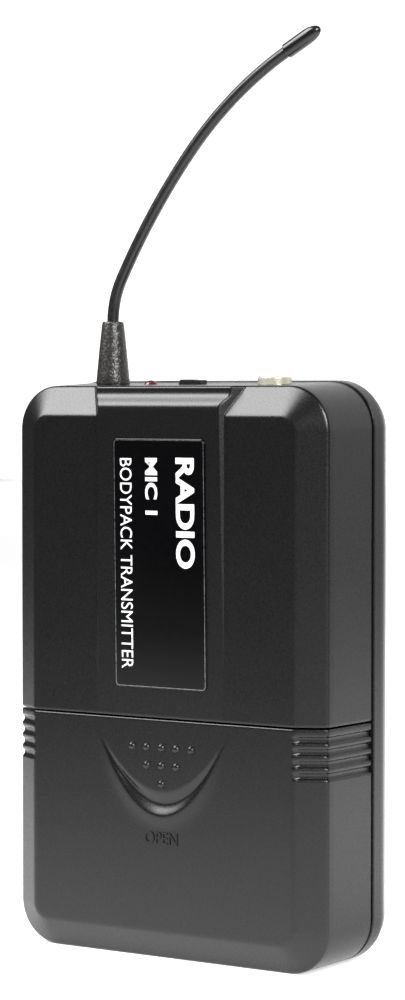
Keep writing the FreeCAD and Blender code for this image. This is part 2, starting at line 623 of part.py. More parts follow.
def power_led():
    """A round lens with a domed top, held in the top wall."""
    body = new_body("power_led")
    sketch = new_sketch(body, "led_section", "XZ_Plane", "led_place",
                        "%s + led_rise - led_length" % TOP, "row_depth")
    radius = VALUE["led_diameter"] / 2
    low = VALUE["led_length"] - radius
    sketch.addGeometry(Part.LineSegment(Vector(0, 0, 0), Vector(radius, 0, 0)), False)
    sketch.addGeometry(Part.LineSegment(Vector(radius, 0, 0), Vector(radius, low, 0)), False)
    dome = Part.Circle(Vector(0, low, 0), Vector(0, 0, 1), radius)
    sketch.addGeometry(Part.ArcOfCircle(dome, 0, math.pi / 2), False)
    sketch.addGeometry(Part.LineSegment(Vector(0, low + radius, 0), Vector(0, 0, 0)), False)
    rules = [("Coincident", (0, 1, -1, 1)), ("Coincident", (0, 2, 1, 1)),
             ("Tangent", (1, 2, 2, 1)), ("Coincident", (2, 2, 3, 1)),
             ("Coincident", (3, 2, 0, 1)), ("Horizontal", (0,)), ("Vertical", (1,)),
             ("PointOnObject", (2, 3, -2)), ("PointOnObject", (2, 2, -2))]
    for kind, where in rules:
        sketch.addConstraint(Sketcher.Constraint(kind, *where))
    for kind, where, value, text in (("DistanceX", (0, 1, 0, 2), radius, "led_diameter / 2"),
                                     ("DistanceY", (-1, 1, 2, 2), low + radius, "led_length")):
        size = sketch.addConstraint(Sketcher.Constraint(kind, *where, value))
        sketch.setExpression("Constraints[%d]" % size, formula(text))
    turn = body.newObject("PartDesign::Revolution", "led_turn")
    turn.Profile = sketch
    turn.ReferenceAxis = (sketch, ["V_Axis"])
    turn.Angle = 360
    return body


def led_leads():
    low = "(%s + led_rise - led_length)" % TOP
    legs = [cylinder("led_leg_%d" % index, "led_place %s 1.27 / 2" % sign, "-row_depth",
                     low + " - 3", "0.5", "3") for index, sign in enumerate("-+")]
    feet = [cylinder("led_foot_%d" % index, "led_place %s 1.27 / 2" % sign, "-row_depth",
                     low + " - 2.75", "0.5", "row_depth + board_place", "Y")
            for index, sign in enumerate("-+")]
    pairs = [fuse("led_lead_%d" % index, pair) for index, pair in enumerate(zip(legs, feet))]
    return group("led_leads", pairs)


def slide_switch():
    """The switch body under the top wall and its ribbed knob, whose stem passes the slot."""
    body_top = "(%s - fit)" % UNDER_TOP
    shell = box("switch_case", "knob_place - switch_length / 2", "-row_depth - switch_width / 2",
                body_top + " - switch_height", "switch_length", "switch_width", "switch_height")
    well = box("switch_well", "knob_place - stem_size / 2 - fit", "-row_depth - stem_size / 2 - fit",
               body_top + " - switch_height / 2", "stem_size + knob_travel + 2 * fit",
               "stem_size + 2 * fit", "switch_height")
    node(cut("switch_body", shell, well), "switch_body")
    plate_low = "(%s + top_draft * knob_width / front_depth + knob_float)" % TOP
    top = "(%s + knob_rise)" % TOP
    plate = box("knob_plate", "knob_place - knob_length / 2", "-row_depth - knob_width / 2",
                plate_low, "knob_length", "knob_width", "%s - %s - 0.2" % (top, plate_low))
    ribs = [box("knob_rib_%d" % index,
                "knob_place - knob_length / 2 + %d * knob_length / 7.5" % index,
                "-row_depth - knob_width / 2", plate_low, "knob_length / 13", "knob_width",
                "%s - %s" % (top, plate_low)) for index in range(5)]
    stem = box("knob_stem", "knob_place - stem_size / 2", "-row_depth - stem_size / 2",
               body_top + " - switch_height / 2 + fit", "stem_size", "stem_size",
               "%s - %s + switch_height / 2" % (plate_low, body_top))
    node(fuse("switch_knob", [plate, stem] + ribs), "switch_knob")
    pins = [cylinder("switch_pin_%d" % index, "knob_place + %d * 2.5" % (index - 1),
                     "-row_depth + switch_width / 2", body_top + " - switch_height / 2", "0.6",
                     "row_depth - switch_width / 2 + board_place", "Y") for index in range(3)]
    node(group("switch_pins", pins), "switch_pins")


def microphone_jack():
    """A turned barrel for a 3.5 mm plug, in a moulded block with its contact springs."""
    top = "(%s + jack_rise)" % TOP
    outer = cylinder("barrel_outer", "jack_place", "-row_depth", top + " - jack_length",
                     "jack_outer", "jack_length")
    bore = cylinder("barrel_bore", "jack_place", "-row_depth", top + " - jack_length - 1",
                    "jack_bore", "jack_length + 2")
    node(cut("jack_barrel", outer, bore), "jack_barrel")
    block_top = "(%s - fit)" % UNDER_TOP
    block = box("jack_case", "jack_place - jack_block / 2", "-row_depth - jack_block / 2",
                block_top + " - 15", "jack_block", "jack_block", "15")
    room = cylinder("jack_room", "jack_place", "-row_depth", block_top + " - 14",
                    "jack_outer + 2 * pilot_gap", "15")
    node(cut("jack_body", block, room), "jack_body")
    pins = [cylinder("jack_pin_%d" % index, "jack_place + %d * 2.5" % (index - 1),
                     "-row_depth + jack_block / 2", block_top + " - %d" % (6 + 3 * index), "0.7",
                     "row_depth - jack_block / 2 + board_place", "Y") for index in range(3)]
    node(group("jack_pins", pins), "jack_pins")


# ---------------------------------------------------------------- antenna

# The whip stands straight in the boot, then leans over in three arcs: length, turn in degrees.
WHIP_ARCS = [(8.3, 28.0), (27.3, 11.8), (28.0, 22.0)]
WHIP_ROOT = 3.0


def whip_route(values):
    """The whip's centre line as edges, its end point and its end direction."""
    base = values["case_height"] - values["top_draft"] * values["row_depth"] / values["front_depth"]
    start = Vector(values["antenna_place"], -values["row_depth"], base + WHIP_ROOT)
    point = Vector(start.x, start.y, base + values["boot_height"])
    edges = [Part.LineSegment(start, point).toShape()]
    lean = 0.0
    for length, degrees in WHIP_ARCS:
        turn = math.radians(degrees)
        radius = length / turn
        places = []
        for share in (0.0, 0.5, 1.0):
            angle = lean + share * turn
            places.append(point + Vector(radius * (math.cos(lean) - math.cos(angle)), 0,
                                         radius * (math.sin(angle) - math.sin(lean))))
        edges.append(Part.Arc(*places).toShape())
        point = places[-1]
        lean += turn
    return edges, point, Vector(math.sin(lean), 0, math.cos(lean))


def antenna(values):
    """Threaded bush, rubber boot, whip and end cap, and the wire to the board."""
    bush_top = "(%s)" % TOP
    bush = cylinder("bush", "antenna_place", "-row_depth", bush_top + " - ferrule_length",
                    "ferrule_diameter", "ferrule_length")
    nut = cylinder("bush_nut", "antenna_place", "-row_depth", "%s - 2.5" % UNDER_TOP,
                   "ferrule_diameter + 3", "2.4")
    node(fuse("antenna_ferrule", [bush, nut]), "antenna_ferrule")

    edges, end, direction = whip_route(values)
    wire = Part.Wire(edges)
    radius = values["whip_diameter"] / 2
    circle = Part.Circle(edges[0].valueAt(0), Vector(0, 0, 1), radius)
    whip = wire.makePipeShell([Part.Wire(circle.toShape())], True, False)
    share = whip.Volume / (math.pi * radius ** 2 * wire.Length)
    if abs(share - 1) > 0.01:
        raise ValueError("the whip's volume is %.3f of its section times its length" % share)
    item = doc.addObject("Part::Feature", "antenna_whip")
    item.Shape = whip
    node(item, "antenna_whip")

    boot = doc.addObject("Part::Cone", "boot_cone")
    bind(boot, Radius1="boot_base / 2", Radius2="boot_top / 2", Height="boot_height",
         Placement__Base__x="antenna_place", Placement__Base__y="-row_depth",
         Placement__Base__z=bush_top + " + top_draft * boot_base / 2 / front_depth")
    core = cylinder("boot_core", "antenna_place", "-row_depth", bush_top + " + %s" % WHIP_ROOT,
                    "whip_diameter", "boot_height + 1")
    node(cut("antenna_boot", boot, core), "antenna_boot")

    # The end cap is a short cone with half of an egg shape on it.
    cap_radius = values["tip_diameter"] / 2
    straight = values["tip_length"] * 0.4
    dome = Part.Ellipse(Vector(0, 0, values["tip_length"]), Vector(cap_radius, 0, straight),
                        Vector(0, 0, straight))
    outline = [Vector(0, 0, 0), Vector(cap_radius * 0.86, 0, 0), Vector(cap_radius, 0, straight)]
    sides = [Part.LineSegment(outline[0], outline[1]).toShape(),
             Part.LineSegment(outline[1], outline[2]).toShape(),
             Part.ArcOfEllipse(dome, 0, math.pi / 2).toShape(),
             Part.LineSegment(Vector(0, 0, values["tip_length"]), outline[0]).toShape()]
    cap = Part.Face(Part.Wire(Part.__sortEdges__(sides))).revolve(
        Vector(0, 0, 0), Vector(0, 0, 1), 360)
    if abs(cap.BoundBox.ZMax - values["tip_length"]) > 0.01:
        raise ValueError("the end cap is not as long as it should be")
    item = doc.addObject("Part::Feature", "antenna_tip")
    item.Shape = cap
    item.Placement = Placement(end, Rotation(Vector(0, 0, 1), direction))
    node(item, "antenna_tip")
    node(cylinder("antenna_wire", "antenna_place", "-row_depth",
                  bush_top + " - ferrule_length - 0.5", "1.0", "row_depth + board_place", "Y"),
         "antenna_wire")


# ---------------------------------------------------------------- circuit board and its parts

def circuit_board():
    plate = box("board_plate", "-board_width / 2", "board_place", "board_low", "board_width",
                "board_thick", "board_high - board_low")
    holes = [cylinder("board_hole_%d" % index, side + " * " + POST_PLACE, "board_place - 1", high,
                      "small_shank + 2 * fit", "board_thick + 2", "Y")
             for index, (side, high) in enumerate(POSTS)]
    return cut("circuit_board", plate, fuse("board_holes", holes))


def on_board(share):
    """The height of a place that lies this share of the way up the board."""
    return "(board_low + %s * (board_high - board_low))" % share


def board_parts():
    """The radio's screening can and the larger parts on the board's front. They go with the board."""
    can_low, can_high = on_board(0.26), "0.34 * (board_high - board_low)"
    can = box("can_outer", "-16", "board_place - 3.6", can_low, "20", "3.6", can_high)
    room = box("can_room", "-15.7", "board_place - 3.3", can_low + " + 0.3", "19.4", "4",
               can_high + " - 0.6")
    node(cut("rf_shield", can, room), "rf_shield")
    chips = [box("chip_%d" % index, str(x), "board_place - 1.4", on_board(share), str(wide), "1.4",
                 str(high))
             for index, (x, share, wide, high) in enumerate(((-12, 0.34, 7, 7), (8, 0.49, 6, 5),
                                                             (7, 0.23, 5, 8)))]
    node(group("ic_chips", chips), "ic_chips")
    node(box("crystal", "-4", "board_place - 2.5", on_board(0.13), "9", "2.5", "3.6"), "crystal")
    cans = [cylinder("capacitor_%d" % index, str(x), "board_place - 5.5", on_board(share), "5",
                     "5.5", "Y")
            for index, (x, share) in enumerate(((-10, 0.15), (17, 0.36), (17, 0.22), (-18, 0.68)))]
    node(group("capacitors", cans), "capacitors")
    coils = [cylinder("coil_part_%d" % index, str(x), "board_place - 3", on_board(0.72), "4", "3",
                      "Y") for index, x in enumerate((-10, -4))]
    node(group("coils", coils), "coils")


def screw(name, across, start, up, shank, head, head_high, length, forward):
    """A pan-headed screw along Y: its head's inner face is at start, and forward is -1 or 1."""
    shank_low = start if forward > 0 else "%s - %s" % (start, length)
    head_low = "%s - %s" % (start, head_high) if forward > 0 else start
    return fuse(name, [cylinder(name + "_shank", across, shank_low, up, shank, length, "Y"),
                       cylinder(name + "_head", across, head_low, up, head, head_high, "Y")])


def screws():
    case = [screw("case_screw_%d" % index, side + " * boss_place",
                  "(rear_depth - screw_head_high - fit)", high, "screw_shank", "screw_head",
                  "screw_head_high", "screw_length", -1)
            for index, (side, high) in enumerate(BOSSES)]
    node(group("case_screws", case), "case_screws")
    board = [screw("board_screw_%d" % index, side + " * " + POST_PLACE, "board_place", high,
                   "small_shank", "small_head", "1.2", BACK_INSIDE + " - board_place - 0.4", 1)
             for index, (side, high) in enumerate(POSTS)]
    node(group("board_screws", board), "board_screws")


# ---------------------------------------------------------------- belt clip

def belt_clip():
    """A bracket on the back, a pin, a spring and a clip that swings out on the pin."""
    ear_high = "pivot_out + pin_diameter"
    base = box("bracket_base", "-bracket_width / 2", BACK, "pivot_height - bracket_high / 2",
               "bracket_width", "bracket_thick", "bracket_high")
    ears = [box("bracket_ear_%d" % index, start, BACK, "pivot_height - bracket_high / 3",
                "ear_width", ear_high, "bracket_high * 2 / 3")
            for index, start in enumerate(("-bracket_width / 2", "bracket_width / 2 - ear_width"))]
    eye = cylinder("bracket_eye", "-bracket_width", PIVOT_DEPTH, "pivot_height", "pin_diameter",
                   "2 * bracket_width", "X")
    node(cut("clip_bracket", fuse("bracket_solid", [base] + ears), eye), "clip_bracket")
    node(cylinder("clip_pin", "-bracket_width / 2", PIVOT_DEPTH, "pivot_height", "pin_diameter",
                  "bracket_width", "X"), "clip_pin")
    coil = cylinder("clip_coil", "-coil_width / 2", PIVOT_DEPTH, "pivot_height",
                    "pin_diameter + 0.2 + 2 * coil_wire", "coil_width", "X")
    hollow = cylinder("clip_coil_hollow", "-coil_width", PIVOT_DEPTH, "pivot_height",
                      "pin_diameter + 0.2", "2 * coil_width", "X")
    node(cut("clip_spring", coil, hollow), "clip_spring")

    arm = box("clip_arm", "-clip_width / 2", BACK + " + belt_gap", "clip_low", "clip_width",
              "clip_thick", "clip_high - clip_low")
    nose = box("clip_nose_block", "-clip_width / 2", BACK + " + clip_nose_gap", "clip_low",
               "clip_width", "belt_gap - clip_nose_gap + clip_thick / 2", "clip_nose")
    knuckle = cylinder("clip_knuckle", "-clip_width / 2", PIVOT_DEPTH, "pivot_height",
                       "pin_diameter + 2.8", "clip_width", "X")
    web = box("clip_web", "-clip_width / 2", PIVOT_DEPTH, "pivot_height - pin_diameter",
              "clip_width", "belt_gap - pivot_out + 0.2", "2 * pin_diameter")
    bore = cylinder("clip_bore", "-clip_width", PIVOT_DEPTH, "pivot_height",
                    "pin_diameter + 2 * pin_gap", "2 * clip_width", "X")
    notch = box("clip_notch", "-coil_width / 2 - clip_clearance", BACK,
                "pivot_height - 2 * pin_diameter", "coil_width + 2 * clip_clearance", "belt_gap",
                "4 * pin_diameter")
    node(cut("belt_clip", fuse("clip_solid", [arm, nose, knuckle, web]),
             fuse("clip_hollows", [bore, notch])), "belt_clip")


def build():
    node(front_cover(), "front_cover")
    node(battery_door(), "battery_door")
    node(rear_shell(), "rear_shell")
    node(battery_tray(), "battery_tray")
    cells()
    battery_contacts()
    node(label_plate(), "label_plate")
    node(power_led(), "power_led")
    node(led_leads(), "led_leads")
    slide_switch()
    microphone_jack()
    antenna(VALUE)
    node(circuit_board(), "circuit_board")
    board_parts()
    screws()
    belt_clip()
    doc.recompute()


def export():
    """Write each sub-part's shape, once every object is sound."""
    for item in doc.Objects:
        if "Invalid" in item.State or "Error" in item.State:
            raise ValueError("%s did not build: %s" % (item.Name, item.State))
    os.makedirs("parts", exist_ok=True)
    for item in NODES:
        shape = item.Shape
        if shape.isNull() or not shape.isValid():
            raise ValueError("%s has no sound shape" % item.Label)
        shape.exportStep("parts/%s.step" % item.Label)
        print("%-18s %2d solids %9.2f mm3" % (item.Label, len(shape.Solids), shape.Volume))


build()
export()
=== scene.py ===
"""Looks of a wireless bodypack transmitter: a black moulded case with a bevelled front, a sliding
battery door, a label, a whip antenna in a rubber boot, and a power light, a slide switch and a
3.5 mm socket along the top. Lengths inside the shape functions are in millimetres; meshes are in
metres. +Z is up, the front faces -Y and the parting plane of the case is y = 0.
"""
import math

import bpy
import numpy as np
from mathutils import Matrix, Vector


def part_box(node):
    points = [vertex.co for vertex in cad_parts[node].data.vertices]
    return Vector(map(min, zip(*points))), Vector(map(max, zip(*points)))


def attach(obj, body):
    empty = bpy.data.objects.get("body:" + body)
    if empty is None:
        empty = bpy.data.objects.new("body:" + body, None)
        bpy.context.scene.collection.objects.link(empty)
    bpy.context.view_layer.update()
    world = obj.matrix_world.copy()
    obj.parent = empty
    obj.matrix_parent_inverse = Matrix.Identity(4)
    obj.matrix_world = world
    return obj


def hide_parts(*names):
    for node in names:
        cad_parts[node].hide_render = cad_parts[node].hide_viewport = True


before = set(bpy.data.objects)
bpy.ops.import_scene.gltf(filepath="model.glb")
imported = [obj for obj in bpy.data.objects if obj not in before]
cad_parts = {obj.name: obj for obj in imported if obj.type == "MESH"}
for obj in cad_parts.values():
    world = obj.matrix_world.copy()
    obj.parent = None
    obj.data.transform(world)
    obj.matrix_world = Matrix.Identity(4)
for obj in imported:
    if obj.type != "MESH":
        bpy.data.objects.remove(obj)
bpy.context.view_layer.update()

MM = 0.001


def span(node):
    """Lowest and highest corner of a CAD node, in millimetres."""
    low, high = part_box(node)
    return np.array(low) / MM, np.array(high) / MM


# ---------------------------------------------------------------- sizes, in millimetres

REAR_LOW, REAR_HIGH = span("rear_shell")
CASE_HALF = (REAR_HIGH[0] - REAR_LOW[0]) / 2
CASE_HIGH = REAR_HIGH[2]
REAR_DEPTH = REAR_HIGH[1]
WALL = 1.6
PARTING_ROUND = 8.6       # corner radius of the case at the parting plane
PARTING_GAP = 0.13        # half of the dark line round the parting plane
PARTING_EDGE = 0.2        # soft edges beside that line

FRONT_DEPTH = 14.3        # drafted walls, from the parting plane to the bevel
BEVEL_DEPTH = 3.2
BEVEL_WIDTH = 5.4
BEVEL_SLOPE = 30.6        # degrees between the bevel and the flat face
BEVEL_BLEND = 0.09        # rounding of the crease between them
SIDE_DRAFT = 0.45
TOP_DRAFT = 0.7
FRONT_ROUND = 8.2         # corner radius where the walls meet the bevel
BEVEL_EDGE = 0.4          # soft edge there
FACE = FRONT_DEPTH + BEVEL_DEPTH
BACK_INSET = 1.6          # how much the rear shell draws in towards its back
BACK_EDGE = 0.7
REAR_PROUD = 0.3          # the rear shell stands this far out round the front half

SEAM = 44.4               # seam between cover and battery door
SEAM_GAP = 0.25
SEAM_EDGE = 0.3

PANEL_HALF = 13.3         # front edge of the raised centre panel
PANEL_RISE = 0.9
PANEL_FLANK = 1.15        # how steeply its flanks fall
FLANK_BLEND = 0.16        # rounding where they leave the panel
FOOT_BLEND = 0.05         # and where they meet the cover
SHOULDER_LOW = 101.6      # the panel's front face ends here, below the top
SHOULDER_DROP = 1.75      # and its shoulder comes back this far
SHOULDER_FALL = 1.1       # how steeply it comes back
SHOULDER_RUN = 0.03       # and how little it goes on falling above that
SHOULDER_BLEND = 0.5

THUMB_HALF = 14.6         # the thumb rest: a crescent sunk into the door
THUMB_TOP = 42.4          # height of its two ends
THUMB_LOW = 26.7          # lowest point of its crisp rim
THUMB_INNER = 30.3        # lowest point of its soft inner edge
THUMB_DEPTH = 0.62
THUMB_MIDDLE = 0.3        # its middle lies this far to the right
THUMB_FULL = 2.2          # where the crescent is this wide it has its full depth
RAMP_DEEP = 0.6           # share of the crescent's width at which it is deepest
RAMP_END = 1.25           # and the share at which it is level again
LIP_RISE = 0.22
LIP_FADE = 1.6

GRIP_PITCH = 2.15         # the grip grooves across the door's sides
GRIP_COUNT = 4
GRIP_DEPTH = 0.5
GRIP_INNER = 5.3          # how far the grooves reach in from the outline, on the front
GRIP_FADE = 0.3           # length over which they end there
GRIP_OUTSIDE = 20.0       # they lie further than this from the middle
DETAIL_LOW = 20.0         # the door's walls are plain below this height

SCREW_ACROSS = 27.3       # the case screws in the back
SCREW_LOW = 50.5
SCREW_UNDER_TOP = 10.7
SCREW_HEAD = 2.35         # radius of their counterbores
SCREW_SINK = 1.5
SCREW_EDGE = 0.3

LABEL_THICK = 0.25
LABEL_ROUND = 0.9
FOIL_RISE = 0.012         # the foil line and the ink lie this far above the film
INK_RISE = 0.015


# ---------------------------------------------------------------- mesh and node helpers

def srgb(code):
    """A hex colour as linear RGBA."""
    parts = [int(code[i:i + 2], 16) / 255 for i in (0, 2, 4)]
    return [c / 12.92 if c <= 0.04045 else ((c + 0.055) / 1.055) ** 2.4 for c in parts] + [1.0]


def make_piece(name, points, faces, material, sharp=35.0):
    """A mesh object at the origin from points in millimetres, smooth but for edges over sharp."""
    mesh = bpy.data.meshes.new(name)
    mesh.from_pydata((np.asarray(points, float) * MM).tolist(), [], [list(f) for f in faces])
    mesh.shade_smooth()
    mesh.set_sharp_from_angle(angle=math.radians(sharp))
    mesh.materials.append(material)
    piece = bpy.data.objects.new(name, mesh)
    bpy.context.scene.collection.objects.link(piece)
    return piece


def stand_for(piece, body, slot, *nodes):
    """Ride a piece on its body and let it stand for its CAD nodes; the slot argument is not used.
    """
    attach(piece, body)
    if nodes:
        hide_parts(*nodes)
    return piece


def grid_faces(rows, columns, around=False):
    """Quads of a rows by columns grid of points; around joins the last column to the first."""
    across = np.arange(columns if around else columns - 1)
    along = np.arange(rows - 1)[:, None]
    step = (across + 1) % columns
    return np.stack([along * columns + across, along * columns + step,
                     (along + 1) * columns + step, (along + 1) * columns + across],
                    -1).reshape(-1, 4)


def close_shell(outer, inner, quads):
    """Points and faces of a closed wall: the outer skin, the inner one turned round, and a rim
    along every edge that only one face of the skin uses."""
    count = len(outer)
    edges = np.concatenate([quads[:, [i, (i + 1) % 4]] for i in range(4)])
    keys = np.sort(edges, 1)
    _, first, uses = np.unique(keys[:, 0] * count + keys[:, 1], return_index=True,
                               return_counts=True)
    lone = edges[first[uses == 1]]
    rim = np.stack([lone[:, 1], lone[:, 0], lone[:, 0] + count, lone[:, 1] + count], -1)
    return np.concatenate([outer, inner]), np.concatenate([quads, quads[:, ::-1] + count, rim])


def turned(name, profile, material, centre, loop=False, lean=0.0, around=48, sharp=35.0):
    """A surface of revolution about Z: the profile's (radius, height) pairs carried round a
    circle, with a point closing each end whose radius is zero, or the last ring joined to the
    first in a loop. Then it leans about Y, and moves to its centre."""
    profile = np.array(profile, float)
    angle = np.linspace(0, 2 * np.pi, around, endpoint=False)
    body = profile[profile[:, 0] > 1e-6]
    if loop:
        body = np.concatenate([body, body[:1]])
    points = np.stack([body[:, :1] * np.cos(angle), body[:, :1] * np.sin(angle),
                       body[:, 1:] + 0 * angle], -1).reshape(-1, 3)
    faces = grid_faces(len(body), around, around=True)
    if loop:
        faces = faces % ((len(body) - 1) * around)
        points = points[:(len(body) - 1) * around]
    faces = faces.tolist()
    if profile[0, 0] <= 1e-6:
        points = np.concatenate([points, [[0, 0, profile[0, 1]]]])
        faces += [[i, len(points) - 1, (i + 1) % around] for i in range(around)]
    if profile[-1, 0] <= 1e-6:
        last = (len(body) - 1) * around
        points = np.concatenate([points, [[0, 0, profile[-1, 1]]]])
        faces += [[last + i, last + (i + 1) % around, len(points) - 1] for i in range(around)]
    cosine, sine = math.cos(lean), math.sin(lean)
    points = points @ np.array([[cosine, 0, -sine], [0, 1, 0], [sine, 0, cosine]])
    return make_piece(name, points + np.array(centre), faces, material, sharp)


def arc(centre, radius, start, end, count=8):
    """Points of an arc in a (radius, height) profile, from start to end in degrees."""
    turn = np.radians(np.linspace(start, end, count))
    return [(centre[0] + radius * math.cos(a), centre[1] + radius * math.sin(a)) for a in turn]


def add_node(material, kind, values=None, links=None, **settings):
    """A node with settings and input values, its inputs linked to (node, output) pairs."""
    item = material.node_tree.nodes.new(kind)
    for key, value in settings.items():
        setattr(item, key, value)
    for key, value in (values or {}).items():
        item.inputs[key].default_value = value
    for key, (source, output) in (links or {}).items():
        material.node_tree.links.new(source.outputs[output], item.inputs[key])
    return item


# ---------------------------------------------------------------- finishes

def finish(name, colour, roughness, metallic=0.0, **sockets):
    """A material and its shader, with the plain sockets set."""
    material = bpy.data.materials.new(name)
    material.use_nodes = True
    shader = material.node_tree.nodes["Principled BSDF"]
    shader.inputs["Base Color"].default_value = srgb(colour)
    shader.inputs["Roughness"].default_value = roughness
    shader.inputs["Metallic"].default_value = metallic
    for key, value in sockets.items():
        shader.inputs[key.replace("_", " ")].default_value = value
    return material, shader


def grained(material, shader, grain_mm, height_mm, rough, tints, cloud_mm=14.0):
    """Grain and unevenness on Object coordinates: a noise of grain_mm that is a bump height_mm
    high and moves the roughness between the two values of rough, and a slow cloud of cloud_mm
    that moves the colour between the two tints."""
    link = material.node_tree.links.new
    place = add_node(material, "ShaderNodeTexCoord")
    grain = add_node(material, "ShaderNodeTexNoise",
                     {"Scale": 1 / (grain_mm * MM), "Detail": 2.0, "Roughness": 0.55},
                     {"Vector": (place, "Object")})
    cloud = add_node(material, "ShaderNodeTexNoise",
                     {"Scale": 1 / (cloud_mm * MM), "Detail": 2.0}, {"Vector": (place, "Object")})
    tint = add_node(material, "ShaderNodeMix", data_type="RGBA")
    link(cloud.outputs["Fac"], tint.inputs[0])
    tint.inputs[6].default_value = srgb(tints[0])
    tint.inputs[7].default_value = srgb(tints[1])
    link(tint.outputs[2], shader.inputs["Base Color"])
    gloss = add_node(material, "ShaderNodeMapRange",
                     {"From Min": 0.3, "From Max": 0.7, "To Min": rough[0], "To Max": rough[1]},
                     {"Value": (grain, "Fac")})
    link(gloss.outputs["Result"], shader.inputs["Roughness"])
    bump = add_node(material, "ShaderNodeBump", {"Strength": 1.0, "Distance": height_mm * MM},
                    {"Height": (grain, "Fac")})
    link(bump.outputs["Normal"], shader.inputs["Normal"])
    return material


def plastic(name, colours, rough, grain_mm, height_mm, ior, cloud_mm=14.0, **sockets):
    """A grained plastic, rubber, ink or resin between two colours and two roughnesses."""
    material, shader = finish(name, colours[0], rough[0], IOR=ior, **sockets)
    return grained(material, shader, grain_mm, height_mm, rough, colours, cloud_mm)


def metal(name, colours, rough, grain_mm, height_mm, cloud_mm=4.0):
    """A grained metal between two colours and two roughnesses."""
    material, shader = finish(name, colours[0], rough[0], 1.0)
    return grained(material, shader, grain_mm, height_mm, rough, colours, cloud_mm)


# Moulded ABS from a spark-eroded tool: satin black, soft wide highlights, a fine even grain. The
# grain is drawn at 0.3 mm, coarser than the real 0.05 mm, so that it shows at all.
MOULDED_ABS = plastic("moulded_abs", ("0a0a0b", "0d0d0e"), (0.25, 0.33), 0.3, 0.004, 1.5)
# The same ABS inside the case, from a plainer tool: a little rougher and greyer.
INNER_ABS = plastic("inner_abs", ("28282a", "2f2f31"), (0.5, 0.6), 0.6, 0.01, 1.53)
# Polycarbonate label film printed from behind: deep black under a clear glossy layer.
PRINTED_FILM = plastic("printed_film", ("030304", "050506"), (0.1, 0.18), 1.5, 0.0015, 1.36)
# White screen ink under the film.
WHITE_INK = plastic("white_ink", ("eef0f1", "f8f9fa"), (0.35, 0.45), 0.4, 0.001, 1.5)
# Hot-stamped silver foil line round the label.
SILVER_FOIL = metal("silver_foil", ("a9acb0", "c6c9cd"), (0.22, 0.4), 0.8, 0.004)
# Moulded thermoplastic rubber: dark grey and matt, pitted, with small glints.
BOOT_RUBBER = plastic("boot_rubber", ("1f1e1d", "3b3937"), (0.12, 0.42), 0.5, 0.16, 1.52, 1.4)
# Extruded vinyl sleeve: black and smooth, with a narrow highlight.
DRAWN_SLEEVE = plastic("drawn_sleeve", ("18181a", "1f1f20"), (0.24, 0.36), 1.2, 0.01, 1.53, 8.0)
# Dipped vinyl cap: glossy black.
DIPPED_VINYL = plastic("dipped_vinyl", ("141415", "19191a"), (0.15, 0.26), 1.6, 0.01, 1.53, 6.0)
# Chromium plating on turned brass: bright, with fine turning marks.
CHROME_PLATE = metal("chrome_plate", ("c0c2c4", "d0d2d4"), (0.12, 0.22), 0.4, 0.004)
# Satin nickel plating of the socket's rim: pale and soft, so it is only partly metallic.
SATIN_NICKEL = plastic("satin_nickel", ("cbc6b2", "dcd7c6"), (0.24, 0.3), 2.0, 0.001, 2.0, 3.0,
                       Metallic=0.35)
# Nickel-plated spring steel: darker and duller than the chromium.
NICKEL_STEEL = metal("nickel_steel", ("aaa69e", "beb9b0"), (0.25, 0.38), 0.5, 0.004)
# Turned brass, bare.
TURNED_BRASS = metal("turned_brass", ("ab8944", "c4a25c"), (0.22, 0.36), 0.5, 0.004)
# Red epoxy light: clear enough to glow where light passes through its dome.
RED_EPOXY = plastic("red_epoxy", ("5c231e", "70342c"), (0.1, 0.18), 0.8, 0.002, 1.54, 2.0,
                    Transmission_Weight=0.3)
# Black acetal knob and socket block: waxy, semi-gloss.
WAXY_ACETAL = plastic("waxy_acetal", ("171718", "1e1e1f"), (0.25, 0.36), 0.4, 0.006, 1.48, 5.0)
# Printed shrink film on the cells.
CELL_FILM = plastic("cell_film", ("1a5433", "20653e"), (0.22, 0.34), 2.5, 0.01, 1.5, 9.0)
# Vinyl insulation of the thin leads.
LEAD_VINYL = plastic("lead_vinyl", ("841b18", "992521"), (0.35, 0.46), 0.8, 0.006, 1.53, 5.0)
# Glass-epoxy board under green solder resist.
SOLDER_RESIST = plastic("solder_resist", ("114627", "185a33"), (0.25, 0.4), 0.7, 0.008, 1.55, 3.0)
# Moulded epoxy chip cases: dull black.
CHIP_EPOXY = plastic("chip_epoxy", ("171718", "1e1e20"), (0.55, 0.68), 0.3, 0.01, 1.55, 3.0)
# Printed sleeve of the electrolytic capacitors.
CAN_SLEEVE = plastic("can_sleeve", ("1a1f39", "222948"), (0.25, 0.36), 1.0, 0.006, 1.5, 4.0)
# Sintered ferrite: dull grey-black, slightly gritty.
FERRITE = plastic("sintered_ferrite", ("282726", "333130"), (0.6, 0.72), 0.3, 0.02, 1.8, 2.0)
# Black oxide on steel screws.
BLACK_OXIDE = metal("black_oxide", ("242426", "323234"), (0.32, 0.46), 0.4, 0.006, 2.0)

